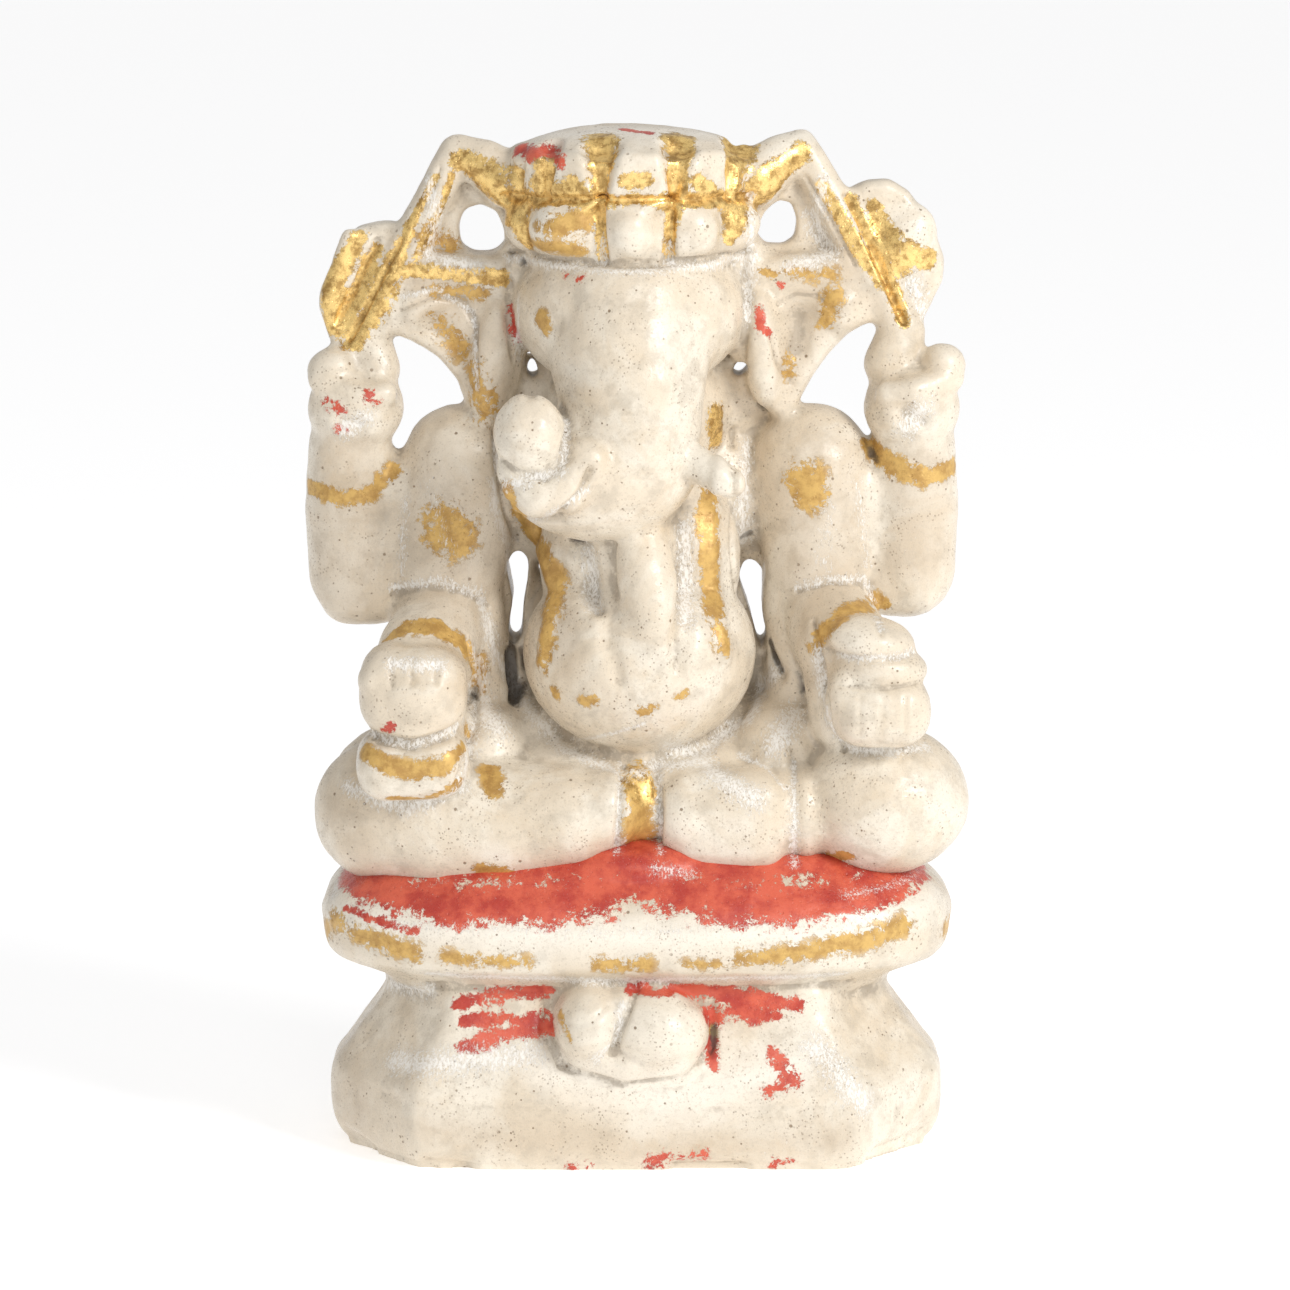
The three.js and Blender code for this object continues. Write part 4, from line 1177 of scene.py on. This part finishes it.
def alabasterFinish(name, honeyShare=0.35, paintHold=0.0):
    c = alabaster
    material = bpy.data.materials.new(name)
    n = Nodes(material)
    clouds, patches, grain, flecks, veins = (
        n.noise(*c["noises"][key]) for key in ("clouds", "patches", "grain", "flecks", "veins"))
    hollow = n.attribute("hollow")
    deep = n.math("ADD", n.ramp(hollow, 0.25, 2.2), n.ramp(n.attribute("crease"), 0.04, 0.30))
    # Grime darkening the creases and hollows, flecked, and partly painted shade there.
    creaseGrimeAndShadeMask = n.math("MINIMUM", n.times(deep, n.ramp(flecks, 0.36, 0.60)), 1.0)
    pores = 0.0
    for scale, cellEdges, gathering, gatherEdges, dark in c["pores"]:
        size = n.times(n.ramp(n.cells(scale), *cellEdges), n.ramp(n.noise(*gathering), *gatherEdges))
        pores = n.most(pores, n.times(size, dark))
    stone = n.blend(n.ramp(clouds, 0.42, 0.62), c["cream"], c["pale"])
    for colour, share, cover in (
            ("grey", 0.50, n.ramp(patches, 0.46, 0.66)),
            ("honey", honeyShare, n.ramp(veins, 0.52, 0.72)),
            # painted shade on the sides that get less light
            ("paintedSideShade", 0.38, n.ramp(n.attribute("paintedSideShade"), 0.0, 0.7)),
            ("bare", 0.9, n.attribute("bare")),
            ("grey", 0.38, n.ramp(grain, 0.50, 0.66)),
            ("pale", 0.35, n.ramp(hollow, -0.2, -1.6)),
            # grime and painted shade in the creases and hollows
            ("creaseGrimeAndShade", 0.48, creaseGrimeAndShadeMask),
            ("pore", 0.78, pores)):
        stone = n.blend(n.times(cover, share), stone, c[colour])

    ragged = n.times(n.noise(*c["noises"]["edge"]), 0.54)
    ragged = n.over(ragged, n.noise(*c["noises"]["broadEdge"]), 0.30)
    ragged = n.over(ragged, n.noise(*c["noises"]["fineEdge"]), 0.16)
    ragged = n.math("SUBTRACT", ragged, 0.5)

    def clinging(attribute):
        low, reach = c["clinging"][attribute]
        held = n.attribute(attribute)
        edge = n.over(held, ragged, reach * c["raggedness"])
        low -= paintHold
        return n.times(n.ramp(edge, low, low + c["edgeSoftness"]), n.ramp(held, 0.0, 0.08))

    ochre, leaf, red = (clinging(key) for key in ("ochre", "leaf", "vermilion"))
    # Painted shade keeps to the hollows, unless a stroke holds it harder than 1.
    paintedRecessShadeHeld = n.attribute("paintedRecessShade")
    paintedRecessShade = n.ramp(n.over(paintedRecessShadeHeld, ragged, 2.4), 0.25, 0.75)
    paintedRecessShade = n.times(paintedRecessShade, n.most(n.ramp(hollow, 0.0, 1.2), n.ramp(paintedRecessShadeHeld, 0.9, 1.2)))
    # The residue lies in scored streaks, and strays thinly beyond its strokes.
    chalky = n.attribute("residue")
    scored = n.noise(*c["noises"]["scored"], vector=n.stretched(c["scoring"]))
    powder = n.over(chalky, n.math("SUBTRACT", scored, 0.5), 4.0)
    residue = n.times(n.ramp(powder, 0.55, 0.95), n.ramp(chalky, 0.0, 0.35))
    stray = n.times(n.ramp(scored, 0.63, 0.68), n.ramp(patches, 0.52, 0.44))
    residue = n.most(residue, n.times(stray, 0.7))

    paint = stone
    worn = n.ramp(n.attribute("ochre"), 0.0, 0.45, 0.55, 1.0)
    leafTone = n.noise(*c["noises"]["leafTone"])
    for cover, tone, toneHigh, dark, light in (
            (n.times(ochre, worn), flecks, 0.62, "ochreDark", "ochreLight"),
            (red, patches, 0.62, "redDark", "redLight"),
            (leaf, leafTone, 0.60, "leafDark", "leafBright")):
        paint = n.blend(cover, paint, n.blend(n.ramp(tone, 0.36, toneHigh), c[dark], c[light]))
    paint = n.blend(n.times(residue, 0.72), paint, c["chalk"])
    # Painted shade laid over everything, near-black.
    paint = n.blend(n.times(paintedRecessShade, 0.85), paint, c["paintedRecessShade"])
    n.put(n.shader.inputs["Base Color"], paint)

    # No gleam where chalky residue or painted shade lies.
    clean = n.math("SUBTRACT", 1.0, n.most(residue, paintedRecessShade))
    dull = n.times(n.math("SUBTRACT", ochre, leaf), c["gilding"]["ochre"])
    gleam = n.most(n.over(dull, leaf, c["gilding"]["leaf"]), 0.0)
    n.put(n.shader.inputs["Metallic"], n.times(gleam, clean))
    roughness = n.over(n.ramp(grain, 0.3, 0.7, 0.23, 0.40), n.most(deep, residue), 0.16)
    n.put(n.shader.inputs["Roughness"], n.over(roughness, ochre, 0.1))
    n.shader.inputs["Specular IOR Level"].default_value = 0.5

    standing = {"grain": grain, "pores": pores, "paint": n.most(ochre, n.most(red, leaf)), "residue": residue,
                "lumps": n.noise(*c["noises"]["lumps"])}
    height = 0.0
    for key, share in c["relief"].items():
        height = n.over(height, standing[key], share)
    bump = n.tree.nodes.new("ShaderNodeBump")
    for key, value in c["bump"].items():
        bump.inputs[key].default_value = value
    n.put(bump.inputs["Height"], height)
    n.put(n.shader.inputs["Normal"], bump.outputs["Normal"])
    return material


print("finishing the stone")
finishes = {
    "alabaster": alabasterFinish("agedAlabaster"),
    "gilded_alabaster": alabasterFinish("gildedAlabaster", 0.45, 0.03),
    "red_painted_alabaster": alabasterFinish("redPaintedAlabaster", 0.25, 0.02),
}
smoothBelow = 55
marksOf = {"lotusSeat": plinthMarks, "baseBlock": plinthMarks, "mouseRelief": plinthMarks}
for piece, slotName, nodes in made:
    putMarks(piece, *marksOf.get(piece.name, figureMarks))
    piece.data.materials.clear()
    piece.data.materials.append(finishes[slotName])
    only(piece)
    bpy.ops.object.shade_smooth_by_angle(angle=math.radians(smoothBelow))
    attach(piece, "root")
    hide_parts(*nodes)

# Floor, light and camera.
studio = {
    "floorSize": 12,
    "paper": {
        "Base Color": (0.9, 0.9, 0.905, 1),
        "Roughness": 0.6,
        "Emission Color": (1, 1, 1, 1),
        "Emission Strength": 0.46,
    },
    "worldLight": 0.53,
    "worldSeen": 1.0,
    "aim": (0, 0, 0.15),
    "softBoxes": [("keyLight", (1.0, -1.0, 0.9), 0.5, 15), ("frontLight", (0.1, -2.2, 1.6), 0.9, 5.5)],
}
bpy.ops.mesh.primitive_plane_add(size=studio["floorSize"], location=(0, 0, cadBox[0].z))
floor = bpy.context.object
floor.name = "studioFloor"
paper = bpy.data.materials.new("studioPaper")
paper.use_nodes = True
for key, value in studio["paper"].items():
    paper.node_tree.nodes["Principled BSDF"].inputs[key].default_value = value
floor.data.materials.append(paper)

# The world lights the stone less than it shows behind it.
world = bpy.data.worlds.new("studio")
bpy.context.scene.world = world
world.use_nodes = True
nodes, links = world.node_tree.nodes, world.node_tree.links
nodes["Background"].inputs["Color"].default_value = (1, 1, 1, 1)
seen = nodes.new("ShaderNodeMapRange")
links.new(nodes.new("ShaderNodeLightPath").outputs["Is Camera Ray"], seen.inputs["Value"])
seen.inputs["To Min"].default_value = studio["worldLight"]
seen.inputs["To Max"].default_value = studio["worldSeen"]
links.new(seen.outputs["Result"], nodes["Background"].inputs["Strength"])
bpy.context.scene.view_settings.view_transform = "Standard"

for name, place, size, power in studio["softBoxes"]:
    bpy.ops.object.light_add(type="AREA", location=place)
    lamp = bpy.context.object
    lamp.name = name
    lamp.data.shape = "DISK"
    lamp.data.size = size
    lamp.data.energy = power
    lamp.rotation_euler = (Vector(studio["aim"]) - Vector(place)).to_track_quat("-Z", "Y").to_euler()

shot = {"distance": 2.0, "elevation": 9.5, "target": (0.0025, 0, 0.1465), "lens": 190.8, "sensor": 36}
rise = math.radians(shot["elevation"])
back = Vector((0, -math.cos(rise), math.sin(rise)))
bpy.ops.object.camera_add(location=Vector(shot["target"]) + back * shot["distance"],
                          rotation=(-back).to_track_quat("-Z", "Y").to_euler())
camera = bpy.context.object
camera.name = "camera"
camera.data.sensor_width = shot["sensor"]
camera.data.lens = shot["lens"]
bpy.context.scene.camera = camera

bpy.context.view_layer.update()
